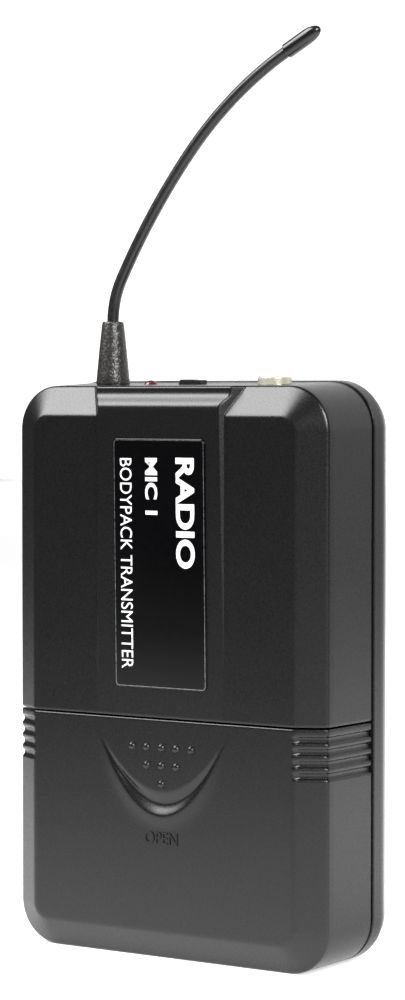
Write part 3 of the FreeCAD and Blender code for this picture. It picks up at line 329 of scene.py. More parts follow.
FINISHES = [
    (MOULDED_ABS, "front_cover battery_door rear_shell belt_clip"),
    (INNER_ABS, "battery_tray clip_bracket"),
    (CELL_FILM, "battery_lower battery_upper"),
    (NICKEL_STEEL, "contact_plates contact_springs contact_link led_leads switch_body "
                   "switch_pins jack_pins rf_shield crystal board_screws clip_pin clip_spring"),
    (LEAD_VINYL, "battery_leads antenna_wire"),
    (PRINTED_FILM, "label_plate"),
    (RED_EPOXY, "power_led"),
    (WAXY_ACETAL, "switch_knob jack_body"),
    (CHROME_PLATE, "jack_barrel"),
    (TURNED_BRASS, "antenna_ferrule"),
    (DRAWN_SLEEVE, "antenna_whip"),
    (BOOT_RUBBER, "antenna_boot"),
    (DIPPED_VINYL, "antenna_tip"),
    (SOLDER_RESIST, "circuit_board"),
    (CHIP_EPOXY, "ic_chips"),
    (CAN_SLEEVE, "capacitors"),
    (FERRITE, "coils"),
    (BLACK_OXIDE, "case_screws"),
]
for material, nodes in FINISHES:
    for node in nodes.split():
        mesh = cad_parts[node].data
        mesh.materials.clear()
        mesh.materials.append(material)


# ---------------------------------------------------------------- case outline

def smooth_step(value):
    """From 0 to 1 as value goes from 0 to 1, level at both ends: three times its square less
    twice its cube."""
    value = np.clip(value, 0.0, 1.0)
    return value * value * (3 - 2 * value)


def soft_min(a, b, blend):
    """The smaller of two fields, their crease rounded over about blend."""
    return (a + b - np.sqrt((a - b) ** 2 + blend ** 2)) / 2


def soft_max(a, b, blend):
    """The larger of two fields, their crease rounded over about blend."""
    return (a + b + np.sqrt((a - b) ** 2 + blend ** 2)) / 2


def edge_drop(distance, radius):
    """How far a surface falls at a distance from its edge, as a quarter round of radius."""
    inside = np.clip(radius - distance, 0, radius)
    return radius - np.sqrt(radius ** 2 - inside ** 2)


def front_outline(depth):
    """Half width, base, top and corner radius of the front half at a depth before the parting
    plane: the walls lean in evenly from the parting plane to the bevel."""
    lean = np.clip(depth / FRONT_DEPTH, 0, 1)
    return (CASE_HALF - SIDE_DRAFT * lean, 0 * lean, CASE_HIGH - TOP_DRAFT * lean,
            PARTING_ROUND + (FRONT_ROUND - PARTING_ROUND) * lean)


def rear_outline(depth):
    """The same for the rear shell: straight for half its depth, then drawn in to the back."""
    inset = BACK_INSET * np.clip(2 * depth / REAR_DEPTH - 1, 0, 1)
    wide = REAR_PROUD - inset
    return CASE_HALF + wide, inset, CASE_HIGH + wide, PARTING_ROUND + wide


def inset_from(across, up, outline, low_round, high_round):
    """Distance in from an outline, round its corners; a side without an outline is far away."""
    half, base, top, r = outline
    side = half - np.abs(across)
    end = np.full(np.shape(across), 1e3)
    if high_round:
        end = np.minimum(end, top - up)
    if low_round:
        end = np.minimum(end, up - base)
    curved = r - np.hypot(r - side, r - end)
    return np.where((side < r) & (end < r), curved, np.minimum(side, end))


def case_skin(name, outline, face_depth, field, side_drop, heights, fixed, outer, low_round,
              high_round, edge, slope, rings, front=True):
    """A closed moulded shell: a face whose depth is a field over (across, up, inset), a rounded
    edge, and walls back to the parting plane.

    The rows of the face lie at heights on the straight sides and go on round the corners; each
    row runs from its left end to its right end, through the fixed columns and then evenly spaced
    outer ones. The walls are rings, each a copy of the face's edge carried back: first along an
    arc that starts at the face's slope, then at even depths to the parting plane, whose outline
    they follow. side_drop sinks the walls at a (height, depth). The inner skin has the same grid,
    a wall's thickness further in and without the details.
    """
    turn = np.radians(np.linspace(0, 90, 41))[1:]
    cosine, sine, level = [np.ones_like(heights)], [0 * heights], [heights]
    if high_round:
        cosine, sine, level = cosine + [np.cos(turn)], sine + [np.sin(turn)], level + [0 * turn]
    if low_round:
        cosine, sine = [np.cos(turn[::-1])] + cosine, [-np.sin(turn[::-1])] + sine
        level = [0 * turn] + level
    cosine, sine, level = map(np.concatenate, (cosine, sine, level))

    def place(share, out, up, level, inset, depth):
        """Points at an inset from the outline at a depth, by share across and direction."""
        half, base, top, r = outline(depth)
        centre = np.where(up > 1e-9, top - r, np.where(up < -1e-9, base + r, level))
        return share * (half - r) + out * (r - inset), centre + up * (r - inset)

    def skin(wall):
        """Points and quads of one skin, a wall's thickness in from the outline: the outer one,
        at no thickness, has the details."""
        plain = wall > 0
        end, height = place(1.0, cosine, sine, level, edge + wall, face_depth)
        far = fixed.max()
        right = np.concatenate([np.broadcast_to(fixed, (len(end), len(fixed))),
                                far + (end[:, None] - far) * outer[None, 1:]], 1)
        across = np.concatenate([-right[:, :0:-1], right], 1)
        height = np.broadcast_to(height[:, None], across.shape)
        inset = inset_from(across, height, outline(face_depth), low_round, high_round) - wall
        depth = field(across, height, np.maximum(inset, 0), plain) - wall
        rows, columns = across.shape
        index = np.arange(rows * columns).reshape(rows, columns)
        half, _, _, r = outline(face_depth)
        down = slice(None, None, -1)
        parts = [[index[down, 0], -1 + 0 * cosine, -cosine[down], sine[down], level[down]]]
        if low_round:
            share = across[0, 1:-1] / (half - r)
            parts.append([index[0, 1:-1], share, 0 * share, -1 + 0 * share, 0 * share])
        parts.append([index[:, -1], 1 + 0 * cosine, cosine, sine, level])
        if high_round:
            share = across[-1, -2:0:-1] / (half - r)
            parts.append([index[-1, -2:0:-1], share, 0 * share, 1 + 0 * share, 0 * share])
        if high_round and not low_round:
            parts = [parts[1], parts[2], parts[0]]
        path, share, out, up, flat = (np.concatenate(column) for column in zip(*parts))
        path = path.astype(int)
        start = depth.reshape(-1)[path]
        points = [np.stack([across, -depth, height], -1).reshape(-1, 3)]
        bend = np.radians(np.linspace(slope, 90, 6))[1:, None]
        first = math.radians(slope)
        reach = edge / (1 - math.sin(first))
        ring_depth = start - reach * (math.cos(first) - np.cos(bend))
        ring_inset = edge - reach * (np.sin(bend) - math.sin(first)) + 0 * start + wall
        back = PARTING_GAP + (ring_depth[-1:] - PARTING_GAP) * rings[:, None]
        ring_depth = np.concatenate([ring_depth, back])
        ring_inset = np.concatenate([ring_inset, wall + 0 * back])
        if not plain:
            ring_inset = ring_inset + edge_drop(ring_depth - PARTING_GAP, PARTING_EDGE)
        x, z = place(share, out, up, flat, ring_inset, ring_depth)
        if not plain:
            drop = side_drop(x, z, ring_depth)
            x, z = x - out * drop, z - up * drop
        points.append(np.stack([x, -ring_depth, z], -1).reshape(-1, 3))
        count = len(path)
        chain = np.concatenate([path[None], rows * columns + np.arange(x.size).reshape(x.shape)])
        if high_round and low_round:
            chain = np.concatenate([chain, chain[:, :1]], 1)
        walls = np.stack([chain[:-1, :-1], chain[1:, :-1], chain[1:, 1:], chain[:-1, 1:]],
                         -1).reshape(-1, 4)
        return np.concatenate(points), np.concatenate([grid_faces(rows, columns), walls])

    shell, quads = skin(0.0)
    inner, _ = skin(WALL)
    points, faces = close_shell(shell, inner, quads)
    if not front:
        points = points * np.array([1, -1, 1])
        faces = faces[:, ::-1]
    return make_piece(name, points, faces, MOULDED_ABS, sharp=50.0)


def seam_rows(low, high, step, from_edge):
    """Even heights from low to high with a few more close to the seam at from_edge."""
    even = np.linspace(low, high, max(2, int(round((high - low) / step)) + 1))
    close = np.array([0.0, 0.02, 0.06, 0.12, 0.2, 0.3, 0.6])
    near = from_edge + close if from_edge <= low else from_edge - close
    keep = np.abs(even - from_edge) > 0.9
    return np.unique(np.concatenate([even[keep], near]))


def panel_front(up):
    """Depth of the raised panel's front: level with the face at the seam, then rising."""
    return FACE + PANEL_RISE * (up - SEAM) / (SHOULDER_LOW - SEAM)


def bevelled_face(inset):
    """The flat face and its broad bevel, with the crease between them slightly rounded."""
    return soft_min(FRONT_DEPTH + BEVEL_DEPTH * inset / BEVEL_WIDTH, FACE + 0 * inset,
                    BEVEL_BLEND)


def cover_field(across, up, inset, plain):
    """The cover's face: bevel and flat, and over them the centre panel, which is the smallest of
    its sloping front, two falling flanks, and a shoulder that comes back steeply near the top and
    then runs up nearly level. Along the seam the edge is rounded."""
    face = bevelled_face(inset)
    if plain:
        return face
    front = np.minimum(panel_front(up), FACE + PANEL_RISE)
    shoulder = soft_max(FACE + PANEL_RISE - (up - SHOULDER_LOW) * SHOULDER_FALL,
                        FACE + PANEL_RISE - SHOULDER_DROP - (up - SHOULDER_LOW) * SHOULDER_RUN,
                        SHOULDER_BLEND)
    flank = FACE + PANEL_RISE - PANEL_FLANK * (np.abs(across) - PANEL_HALF)
    block = soft_min(soft_min(front, shoulder, SHOULDER_BLEND), flank, FLANK_BLEND)
    return soft_max(face, block, FOOT_BLEND) - edge_drop(up - SEAM - SEAM_GAP / 2, SEAM_EDGE)


def cover_side(across, up, depth):
    """On the cover's side walls the rounded edge along the seam runs on to the parting plane."""
    return edge_drop(up - SEAM - SEAM_GAP / 2, SEAM_EDGE) * (up < SEAM + 5)


def grip_drop(up):
    """Depth of the grip grooves at a height: one cosine wave for each groove, stretched past
    0 and 1 and rounded off there, so that grooves and ribs have flat middles."""
    top = SEAM - GRIP_PITCH / 2 + 0.1
    turns = (top - up) / GRIP_PITCH
    wave = smooth_step(0.5 - 0.75 * np.cos(2 * np.pi * turns))
    return GRIP_DEPTH * wave * ((turns > 0) & (turns < GRIP_COUNT))


def thumb_field(across, up):
    """The sunken crescent between two parabolas. At the outer one is a crisp rim, on a low lip
    that fades outwards as a bell curve; from it a straight ramp sinks inwards, and past its
    deepest place it turns up softly over the inner one. Both ends of the crescent run out to
    nothing."""
    side = (across - THUMB_MIDDLE) / THUMB_HALF
    rim = THUMB_LOW + (THUMB_TOP - THUMB_LOW) * side ** 2
    inner = THUMB_INNER + (THUMB_TOP - THUMB_INNER) * side ** 2
    lean = np.hypot(1, 2 * (THUMB_TOP - THUMB_LOW) * side / THUMB_HALF)
    above = (up - rim) / lean
    width = np.maximum((inner - rim) / lean, 0.05)
    share = above / width
    ramp = np.clip(share / RAMP_DEEP, 0, 1) * smooth_step((RAMP_END - share) / 0.75)
    depth = THUMB_DEPTH * smooth_step(width / THUMB_FULL) * (np.abs(side) < 1.0)
    lip = np.exp(-(np.minimum(above, 0) / LIP_FADE) ** 2)
    lip = lip * smooth_step((width * 0.5 - above) / (width * 0.5))
    lip = lip * smooth_step((1.05 - np.abs(side)) / 0.5)
    return LIP_RISE * lip - depth * ramp * (above > 0)


def door_field(across, up, inset, plain):
    """The door's face: bevel and flat, grip grooves across the side bevels, the thumb rest, and
    a rounded edge along the seam."""
    face = bevelled_face(inset)
    if plain:
        return face
    side = smooth_step((GRIP_INNER - inset) / GRIP_FADE) * (np.abs(across) > GRIP_OUTSIDE)
    return (face + thumb_field(across, up) - grip_drop(up) * side
            - edge_drop(SEAM - SEAM_GAP / 2 - up, SEAM_EDGE))


def door_side(across, up, depth):
    """On the door's side walls the grip grooves run on to the parting plane."""
    return np.where(up > DETAIL_LOW,
                    grip_drop(up) + edge_drop(SEAM - SEAM_GAP / 2 - up, SEAM_EDGE), 0)


SCREWS = [(side * SCREW_ACROSS, up) for side in (-1, 1)
          for up in (SCREW_LOW, CASE_HIGH - SCREW_UNDER_TOP)]


def back_field(across, up, inset, plain):
    """The back's face: flat, with a round counterbore for each case screw."""
    face = REAR_DEPTH + 0 * across
    if plain:
        return face
    near = np.min([np.hypot(across - x, up - z) for x, z in SCREWS], 0)
    return face - SCREW_SINK * smooth_step((SCREW_HEAD - near) / SCREW_EDGE)


def no_drop(across, up, depth):
    """Side walls without details."""
    return 0 * depth


def spread(*runs):
    """Places along an axis from (start, end, step) runs that follow each other."""
    parts = [np.arange(start, end - step / 2, step) for start, end, step in runs]
    return np.concatenate(parts + [[runs[-1][1]]])


# Rows and columns lie closer together where a face has details, and rings close to the parting
# plane, where the edge is rounded.
WALL_RINGS = np.concatenate([np.linspace(1, 0.03, 9)[1:], [0.012, 0.007, 0.0035, 0.0]])
top_row = front_outline(FRONT_DEPTH)
front_cover = case_skin(
    "front_cover_skin", front_outline, FRONT_DEPTH, cover_field, cover_side,
    seam_rows(SEAM + SEAM_GAP / 2, top_row[2] - top_row[3], 2.2, SEAM + SEAM_GAP / 2),
    spread((0.0, 12.4, 1.55), (12.4, 17.2, 0.12)), np.linspace(0, 1, 61), False, True,
    BEVEL_EDGE, BEVEL_SLOPE, WALL_RINGS)
stand_for(front_cover, "case", "case_plastic", "front_cover")

battery_door = case_skin(
    "battery_door_skin", front_outline, FRONT_DEPTH, door_field, door_side,
    np.unique(np.concatenate([spread((FRONT_ROUND, 24.0, 1.6)), spread((24.0, 33.0, 0.28)),
                              seam_rows(33.0, SEAM - SEAM_GAP / 2, 0.2, SEAM - SEAM_GAP / 2)])),
    spread((0.0, 15.6, 0.26)), np.linspace(0, 1, 41), True, False,
    BEVEL_EDGE, BEVEL_SLOPE, WALL_RINGS)
stand_for(battery_door, "door", "case_plastic", "battery_door")

back_row = rear_outline(REAR_DEPTH)
rear_shell = case_skin(
    "rear_shell_skin", rear_outline, REAR_DEPTH, back_field, no_drop,
    np.unique(np.concatenate([spread((back_row[1] + back_row[3], 47.5, 3.0)),
                              spread((47.5, 53.5, 0.3)), spread((53.5, 92.0, 3.2)),
                              spread((92.0, back_row[2] - back_row[3], 0.3))])),
    spread((0.0, 24.3, 2.7)), np.linspace(0, 1, 31), True, True,
    BACK_EDGE, 0.0, np.concatenate([np.linspace(1, 0.5, 5)[1:], np.linspace(0.5, 0.06, 4)[1:],
                                    [0.03, 0.015, 0.007, 0.0]]), front=False)
stand_for(rear_shell, "case", "case_plastic", "rear_shell")


# ---------------------------------------------------------------- details of the door

def domes(name, centres, radius, rise, depth, material, rings=5, around=16):
    """Low round caps on the face at depth: each a part of a sphere, radius wide and rise high,
    worked out once and moved to every centre."""
    share = np.linspace(0, 1, rings + 1)[1:]
    angle = np.linspace(0, 2 * np.pi, around, endpoint=False)
    cap = np.concatenate([[[0, -rise, 0]], np.stack(
        [radius * share[:, None] * np.cos(angle), -rise * np.sqrt(1 - share[:, None] ** 2)
         + 0 * angle, radius * share[:, None] * np.sin(angle)], -1).reshape(-1, 3)])
    middle = np.array([[0, 1 + i, 1 + (i + 1) % around] for i in range(around)])
    rows = grid_faces(rings, around, around=True)[:, ::-1] + 1
    shift = np.array([[x, -depth, z] for x, z in centres])
    points = (cap[None] + shift[:, None]).reshape(-1, 3)
    step = (np.arange(len(centres)) * len(cap))[:, None, None]
    faces = (middle[None] + step).reshape(-1, 3).tolist()
    faces += (rows[None] + step).reshape(-1, 4).tolist()
    return make_piece(name, points, faces, material, sharp=60.0)


DOT_PITCH = 3.25
DOT_ROWS = [(39.1, 5), (35.8, 3), (32.5, 1)]      # height and number of dots in each row
DOT_RADIUS, DOT_RISE = 0.76, 0.56
thumb_dots = domes("thumb_dots", [(THUMB_MIDDLE + DOT_PITCH * (i - (count - 1) / 2), up)
                                  for up, count in DOT_ROWS for i in range(count)],
                   DOT_RADIUS, DOT_RISE, FACE - 0.02, MOULDED_ABS)
stand_for(thumb_dots, "door", "case_plastic")


def lettering(name, text, width, height, material, across, up, normal, place, relief=0.0,
              weight=0.0):
    """A word as a mesh: its flat letters scaled to width by height, then carried so that they
    read along across, stand along up and face along normal, from place. With a relief they are
    solid and stand that far out; weight thickens their strokes."""
    curve = bpy.data.curves.new(name, "FONT")
    curve.body = text
    curve.size = 1.0
    curve.offset = weight
    curve.extrude = 0.5 if relief else 0.0
    curve.resolution_u = 6
    holder = bpy.data.objects.new(name + "_curve", curve)
    bpy.context.scene.collection.objects.link(holder)
    bpy.context.view_layer.update()
    mesh = bpy.data.meshes.new_from_object(holder.evaluated_get(
        bpy.context.evaluated_depsgraph_get()))
    bpy.data.objects.remove(holder)
    flat = np.empty(len(mesh.vertices) * 3)
    mesh.vertices.foreach_get("co", flat)
    flat = flat.reshape(-1, 3)
    flat[:, :2] -= flat[:, :2].min(0)
    flat[:, :2] *= np.array([width, height]) / flat[:, :2].max(0)
    flat[:, 2] *= 2 * relief
    axes = np.array([across, up, normal], float)
    faces = [list(polygon.vertices) for polygon in mesh.polygons]
    bpy.data.meshes.remove(mesh)
    return make_piece(name, flat @ axes + np.array(place), faces, material, sharp=30.0)


stand_for(lettering("open_word", "OPEN", 7.2, 2.2, MOULDED_ABS, (1, 0, 0), (0, 0, 1),
                    (0, -1, 0), (-3.35, -FACE, 21.5), relief=0.2), "door", "case_plastic")


# ---------------------------------------------------------------- label

LABEL_LOW, LABEL_HIGH = span("label_plate")


def on_panel(points, rise):
    """Moves flat (across, up) points to the panel's sloping front, rise millimetres above it."""
    return np.stack([points[:, 0], -panel_front(points[:, 1]) - rise, points[:, 1]], -1)


def label_edge(inset, corner=9):
    """A rounded rectangle's outline at an inset from the label's edge."""
    turn = np.radians(np.linspace(0, 90, corner))
    r = LABEL_ROUND - inset
    low, high = LABEL_LOW[[0, 2]] + LABEL_ROUND, LABEL_HIGH[[0, 2]] - LABEL_ROUND
    corners = [(high[0], high[1], 0), (low[0], high[1], 90), (low[0], low[1], 180),
               (high[0], low[1], 270)]
    return np.concatenate([np.stack([x + r * np.cos(turn + math.radians(start)),
                                     z + r * np.sin(turn + math.radians(start))], -1)
                           for x, z, start in corners])


def label_film():
    """The label: its outline carried up from the panel, over a small round, and capped flat."""
    rings = [(0.0, -0.05), (0.0, 0.12), (0.03, 0.19), (0.09, 0.235), (0.18, LABEL_THICK)]
    points = np.concatenate([on_panel(label_edge(inset), rise) for inset, rise in rings])
    count = len(points) // len(rings)
    faces = grid_faces(len(rings), count, around=True).tolist()
    cap = list(range((len(rings) - 1) * count, len(rings) * count))
    return make_piece("label_film", points, faces + [cap], PRINTED_FILM, sharp=60.0)


def foil_line(inset, width):
    """The silver line: a flat band between two outlines, just above the film."""
    points = np.concatenate([on_panel(label_edge(inset + step), LABEL_THICK + FOIL_RISE)
                             for step in (0.0, width)])
    count = len(points) // 2
    return make_piece("label_line", points, grid_faces(2, count, around=True), SILVER_FOIL)


stand_for(label_film(), "case", "label_gloss", "label_plate")
stand_for(foil_line(0.2, 0.13), "case", "label_gloss")
LEAN = PANEL_RISE / (SHOULDER_LOW - SEAM)         # how much the panel's front leans forward


def label_word(name, text, length, height, left, top, weight):
    """A word that reads down the label, its letters' tops to the right."""
    start = (left, -panel_front(top) - LABEL_THICK - INK_RISE, top)
    return lettering(name, text, length, height, WHITE_INK, (0, LEAN, -1), (1, 0, 0),
                     (0, -1, 0), start, weight=weight)


for word in (label_word("label_title", "RADIO", 20.0, 4.1, 4.1, 92.0, 0.035),
             label_word("label_channel", "MIC 1", 10.3, 2.7, -2.6, 91.9, 0.03),
             label_word("label_text", "BODYPACK TRANSMITTER", 38.5, 2.6, -8.2, 91.8, 0.0)):
    stand_for(word, "case", "label_gloss")


# ---------------------------------------------------------------- antenna

boot_low, boot_high = span("antenna_boot")
ANTENNA_X = float((boot_low[0] + boot_high[0]) / 2)
ROW_Y = float((boot_low[1] + boot_high[1]) / 2)   # the controls stand in one row
BOOT_LOW, BOOT_HIGH = float(boot_low[2]), float(boot_high[2])
WHIP_RADIUS = 1.075
WHIP_ROOT = 3.0                                   # it starts this far up inside the boot
BOOT_LIP = 0.16                                   # and bends from this far below the boot's end
WHIP_BENDS = [(8.3, 28.0), (27.3, 11.8), (28.0, 22.0)]   # length and degrees of each arc


def whip_line(steps=14):
    """Points and leans along the whip: straight in the boot, then arc after arc."""
    x, z, lean = ANTENNA_X, BOOT_LOW + WHIP_ROOT, 0.0
    places = [(x, z, lean), (x, BOOT_HIGH - BOOT_LIP, lean)]
    z = BOOT_HIGH - BOOT_LIP
    for length, degrees in WHIP_BENDS:
        turn = math.radians(degrees)
        radius = length / turn
        for angle in lean + turn * np.linspace(0, 1, steps + 1)[1:]:
            places.append((x + radius * (math.cos(lean) - math.cos(angle)),
                           z + radius * (math.sin(angle) - math.sin(lean)), angle))
        x, z, lean = places[-1]
    return np.array(places)


def whip_sleeve(around=20):
    """The sleeve: a circle carried along the whip's line, square to it, with both ends closed."""
    line = whip_line()
    angle = np.linspace(0, 2 * np.pi, around, endpoint=False)
    side = WHIP_RADIUS * np.cos(angle)
    x = line[:, :1] + np.cos(line[:, 2:]) * side
    z = line[:, 1:2] - np.sin(line[:, 2:]) * side
    y = ROW_Y + WHIP_RADIUS * np.sin(angle) + 0 * x
    points = np.stack([x, y, z], -1).reshape(-1, 3)
    faces = grid_faces(len(line), around, around=True).tolist()
    last = (len(line) - 1) * around
    faces += [list(range(around))[::-1], list(range(last, last + around))]
    return make_piece("whip_sleeve", points, faces, DRAWN_SLEEVE, sharp=60.0)


stand_for(whip_sleeve(), "case", "whip_sleeve", "antenna_whip")

boot_profile = ([(0, -0.25), (3.0, -0.25)] + arc((2.9, 0.05), 0.27, -70, 0, 4)
                + [(3.05, 1.2), (2.85, 3.4), (2.6, 6.0), (2.33, 8.6), (2.08, 10.8)]
                + arc((1.66, 11.2), 0.35, 10, 90, 5) + [(1.2, 11.56), (0, 11.56)])
stand_for(turned("boot_cone", boot_profile, BOOT_RUBBER, (ANTENNA_X, ROW_Y, BOOT_LOW), sharp=60.0),
          "case", "boot_rubber", "antenna_boot")

end_x, end_z, end_lean = whip_line()[-1]
CAP_RADIUS, CAP_STRAIGHT, CAP_NOSE = 1.4, 4.6, 3.0
cap_profile = ([(0, -0.3), (1.15, -0.3)] + arc((1.2, -0.1), 0.2, -60, 0, 4)
               + [(CAP_RADIUS, 0.3), (CAP_RADIUS, CAP_STRAIGHT)]
               + [(CAP_RADIUS * math.cos(a), CAP_STRAIGHT + CAP_NOSE * math.sin(a))
                  for a in np.radians([20, 40, 58, 72, 82])]
               + [(0, CAP_STRAIGHT + CAP_NOSE)])
stand_for(turned("whip_cap", cap_profile, DIPPED_VINYL, (end_x, ROW_Y, end_z), lean=end_lean,
                 sharp=60.0), "case", "tip_gloss", "antenna_tip")


# ---------------------------------------------------------------- controls on the top

led_low, led_high = span("power_led")
LED_RADIUS = 1.5
led_profile = ([(0, led_low[2]), (LED_RADIUS, led_low[2]), (LED_RADIUS, led_high[2] - LED_RADIUS)]
               + arc((0, led_high[2] - LED_RADIUS), LED_RADIUS, 15, 75, 5) + [(0, led_high[2])])
stand_for(turned("light_dome", led_profile, RED_EPOXY, ((led_low[0] + led_high[0]) / 2, ROW_Y, 0),
                 sharp=60.0), "case", "red_lens", "power_led")

jack_low, jack_high = span("jack_barrel")
JACK_TOP = jack_high[2]
JACK_RADIUS, JACK_BORE, JACK_ROUND = 3.1, 1.8, 0.35
jack_profile = ([(JACK_RADIUS, jack_low[2]), (JACK_RADIUS, JACK_TOP - 0.45)]
                + arc((JACK_RADIUS - JACK_ROUND, JACK_TOP - JACK_ROUND), JACK_ROUND, 0, 90, 5)
                + [(2.3, JACK_TOP), (1.95, JACK_TOP - 0.3), (JACK_BORE, JACK_TOP - 0.9),
                   (JACK_BORE, jack_low[2])])
stand_for(turned("socket_ring", jack_profile, SATIN_NICKEL,
                 ((jack_low[0] + jack_high[0]) / 2, ROW_Y, 0), loop=True),
          "case", "chrome_plate", "jack_barrel")

knob_low, knob_high = span("switch_knob")
KNOB_BASE = 105.1         # the visible knob starts at this height, in the slot
RIB_PITCH = 0.66
RIB_HEIGHT = 0.6
STEP_DROP = 0.1           # the plain part is this much lower than the ribs
KNOB_EDGE = 0.12          # width and drop of its two long edges


def ribbed_knob(ribs=5, samples=16):
    """The knob: a side view of ribs, each half a sine wave, over its left part and a plain step
    on its right, carried across the slot, with its two long edges lowered."""
    along = np.linspace(0, ribs, ribs * samples + 1)
    x = knob_low[0] + 0.05 + along * RIB_PITCH
    top = knob_high[2] - RIB_HEIGHT * (1 - np.abs(np.sin(np.pi * along)))
    step = knob_high[2] - STEP_DROP
    x = np.concatenate([[knob_low[0], knob_low[0]], x, [x[-1] + 0.05, knob_high[0], knob_high[0]]])
    z = np.concatenate([[KNOB_BASE, top[0] - 0.1], top, [step, step, KNOB_BASE]])
    side = np.array([knob_low[1], knob_low[1] + KNOB_EDGE, knob_high[1] - KNOB_EDGE,
                     knob_high[1]])
    drop = np.array([KNOB_EDGE, 0.0, 0.0, KNOB_EDGE])
    low = np.minimum(z[:, None], np.maximum(z[:, None] - drop, KNOB_BASE))
    points = np.stack([x[:, None] + 0 * side, side + 0 * x[:, None], low], -1).reshape(-1, 3)
    faces = grid_faces(len(x), 4)[:, ::-1].tolist()
    faces += [list(range(0, len(x) * 4, 4))[::-1], list(range(3, len(x) * 4, 4)),
              [0, 1, 2, 3], [len(x) * 4 - 1 - i for i in range(4)]]
    return make_piece("ribbed_knob", points, faces, WAXY_ACETAL, sharp=40.0)


stand_for(ribbed_knob(), "knob", "knob_plastic", "switch_knob")


# ---------------------------------------------------------------- softened CAD shapes

def softened(node, width, body, slot, material, segments=3):
    """A copy of a CAD node with its doubles merged, flat triangles joined and edges rounded."""
    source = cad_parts[node]
    mesh = source.data.copy()
    mesh.name = node + "_soft"
    piece = bpy.data.objects.new(node + "_soft", mesh)
    bpy.context.scene.collection.objects.link(piece)
    weld = piece.modifiers.new("weld", "WELD")
    weld.merge_threshold = 1e-6
    flat = piece.modifiers.new("flat", "DECIMATE")
    flat.decimate_type = "DISSOLVE"
    flat.angle_limit = math.radians(3)
    bevel = piece.modifiers.new("round", "BEVEL")
    bevel.width = width * MM
    bevel.segments = segments
    bevel.limit_method = "ANGLE"
    bevel.angle_limit = math.radians(40)
    bevel.harden_normals = True
    mesh.materials.clear()
    mesh.materials.append(material)
    mesh.shade_smooth()
    return stand_for(piece, body, slot, node)


softened("belt_clip", 0.5, "clip", "case_plastic", MOULDED_ABS)
softened("clip_bracket", 0.25, "case", "inner_plastic", INNER_ABS)
softened("battery_tray", 0.2, "case", "inner_plastic", INNER_ABS, 2)
softened("jack_body", 0.3, "case", "knob_plastic", WAXY_ACETAL, 2)


# ---------------------------------------------------------------- floor, light and camera

def paper(name, corners, glow, white):
    """A flat sheet of paper. `glow` and `white` are the light it gives and how much it reflects,
    outside and inside an oval that runs back from the object. The sheet is dark outside the oval,
    so that the object has something dark to mirror."""
    mesh = bpy.data.meshes.new(name)
    mesh.from_pydata(corners, [], [(0, 1, 2, 3)])
    item = bpy.data.objects.new(name, mesh)
    bpy.context.scene.collection.objects.link(item)
    material, shader = finish(name + "_paper", "f4f4f4", 0.9)
    shader.inputs["Emission Color"].default_value = (1, 1, 1, 1)
    place = add_node(material, "ShaderNodeTexCoord")
    oval = add_node(material, "ShaderNodeMapping", {"Location": OVAL_PLACE, "Scale": OVAL_SIZE,
                                                    "Rotation": (0, 0, OVAL_TURN)},
                    {"Vector": (place, "Object")}, vector_type="TEXTURE")
    ball = add_node(material, "ShaderNodeTexGradient", {}, {"Vector": (oval, "Vector")},
                    gradient_type="SPHERICAL")
    for socket, (low, high) in (("Emission Strength", glow), ("Base Color", white)):
        fade = add_node(material, "ShaderNodeMapRange",
                        {"From Min": 0.0, "From Max": OVAL_FADE, "To Min": low, "To Max": high},
                        {"Value": (ball, "Fac")}, interpolation_type="SMOOTHSTEP")
        material.node_tree.links.new(fade.outputs["Result"], shader.inputs[socket])
    mesh.materials.append(material)
    return item


# The oval: its middle lies behind the object and a little to the right, its long half axis runs
# away from the camera. It fades out over OVAL_FADE of its size. All in metres.
OVAL_TURN = math.radians(34.0)
OVAL_PLACE = (-0.77, 1.41, 0.0)
OVAL_SIZE = (0.75, 2.4, 2.0)
OVAL_FADE = 0.35

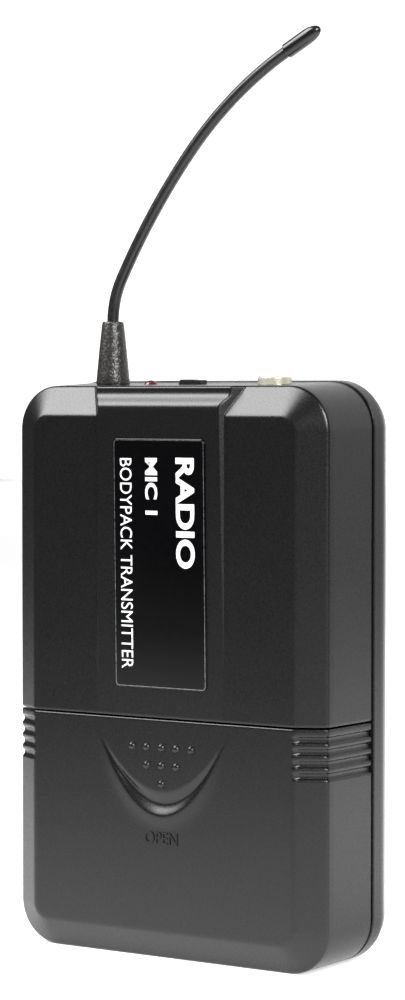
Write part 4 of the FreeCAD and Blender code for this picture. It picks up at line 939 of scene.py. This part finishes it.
# The door stays on the floor and the pack is lifted off it, so the floor goes with the door.
floor = paper("floor", [(-4, -3, 0), (4, -3, 0), (4, 2.5, 0), (-4, 2.5, 0)],
              (0.03, 0.6), (0.1, 0.9))
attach(floor, "door")
paper("backdrop", [(-2.3, 2.4, -0.3), (4, 2.4, -0.3), (4, 2.4, 4), (-2.3, 2.4, 4)],
      (0.85, 0.95), (0.9, 0.9))


LIT_HEIGHT = 0.06         # the lights face this height, in metres


def softbox(name, azimuth, height, distance, size, power):
    """An area light that faces the middle of the object, from an azimuth in degrees (0 in front,
    90 on the right) and a height in degrees. Distance and size are in metres, power in watts."""
    light = bpy.data.lights.new(name, "AREA")
    light.energy = power
    light.shape = "RECTANGLE"
    light.size, light.size_y = size
    light.spread = math.radians(100)
    item = bpy.data.objects.new(name, light)
    bpy.context.scene.collection.objects.link(item)
    turn, rise = math.radians(azimuth), math.radians(height)
    item.location = (distance * math.cos(rise) * math.sin(turn),
                     -distance * math.cos(rise) * math.cos(turn),
                     LIT_HEIGHT + distance * math.sin(rise))
    item.rotation_euler = (math.pi / 2 - rise, 0, turn)


# The one from above on the left lights the bevel and the shoulder, the one on the right the boot
# and the right-hand edges.
softbox("light_above", -52, 46, 0.95, (0.7, 0.7), 5.6)
softbox("light_right", 57, 27, 1.1, (0.5, 0.5), 4.6)

world = bpy.data.worlds.new("studio")
world.use_nodes = True
world.node_tree.nodes["Background"].inputs["Color"].default_value = (1, 1, 1, 1)
world.node_tree.nodes["Background"].inputs["Strength"].default_value = 0.08
bpy.context.scene.world = world
bpy.context.scene.view_settings.view_transform = "Standard"

camera_data = bpy.data.cameras.new("view")
camera_data.sensor_fit = "VERTICAL"
camera_data.sensor_height = 36.0
camera_data.lens = 106.61
camera = bpy.data.objects.new("view", camera_data)
bpy.context.scene.collection.objects.link(camera)
camera.location = (0.30710, -0.45841, 0.10350)
camera.rotation_euler = (math.radians(90 - 2.05), 0.0, math.radians(34.03))
bpy.context.scene.camera = camera
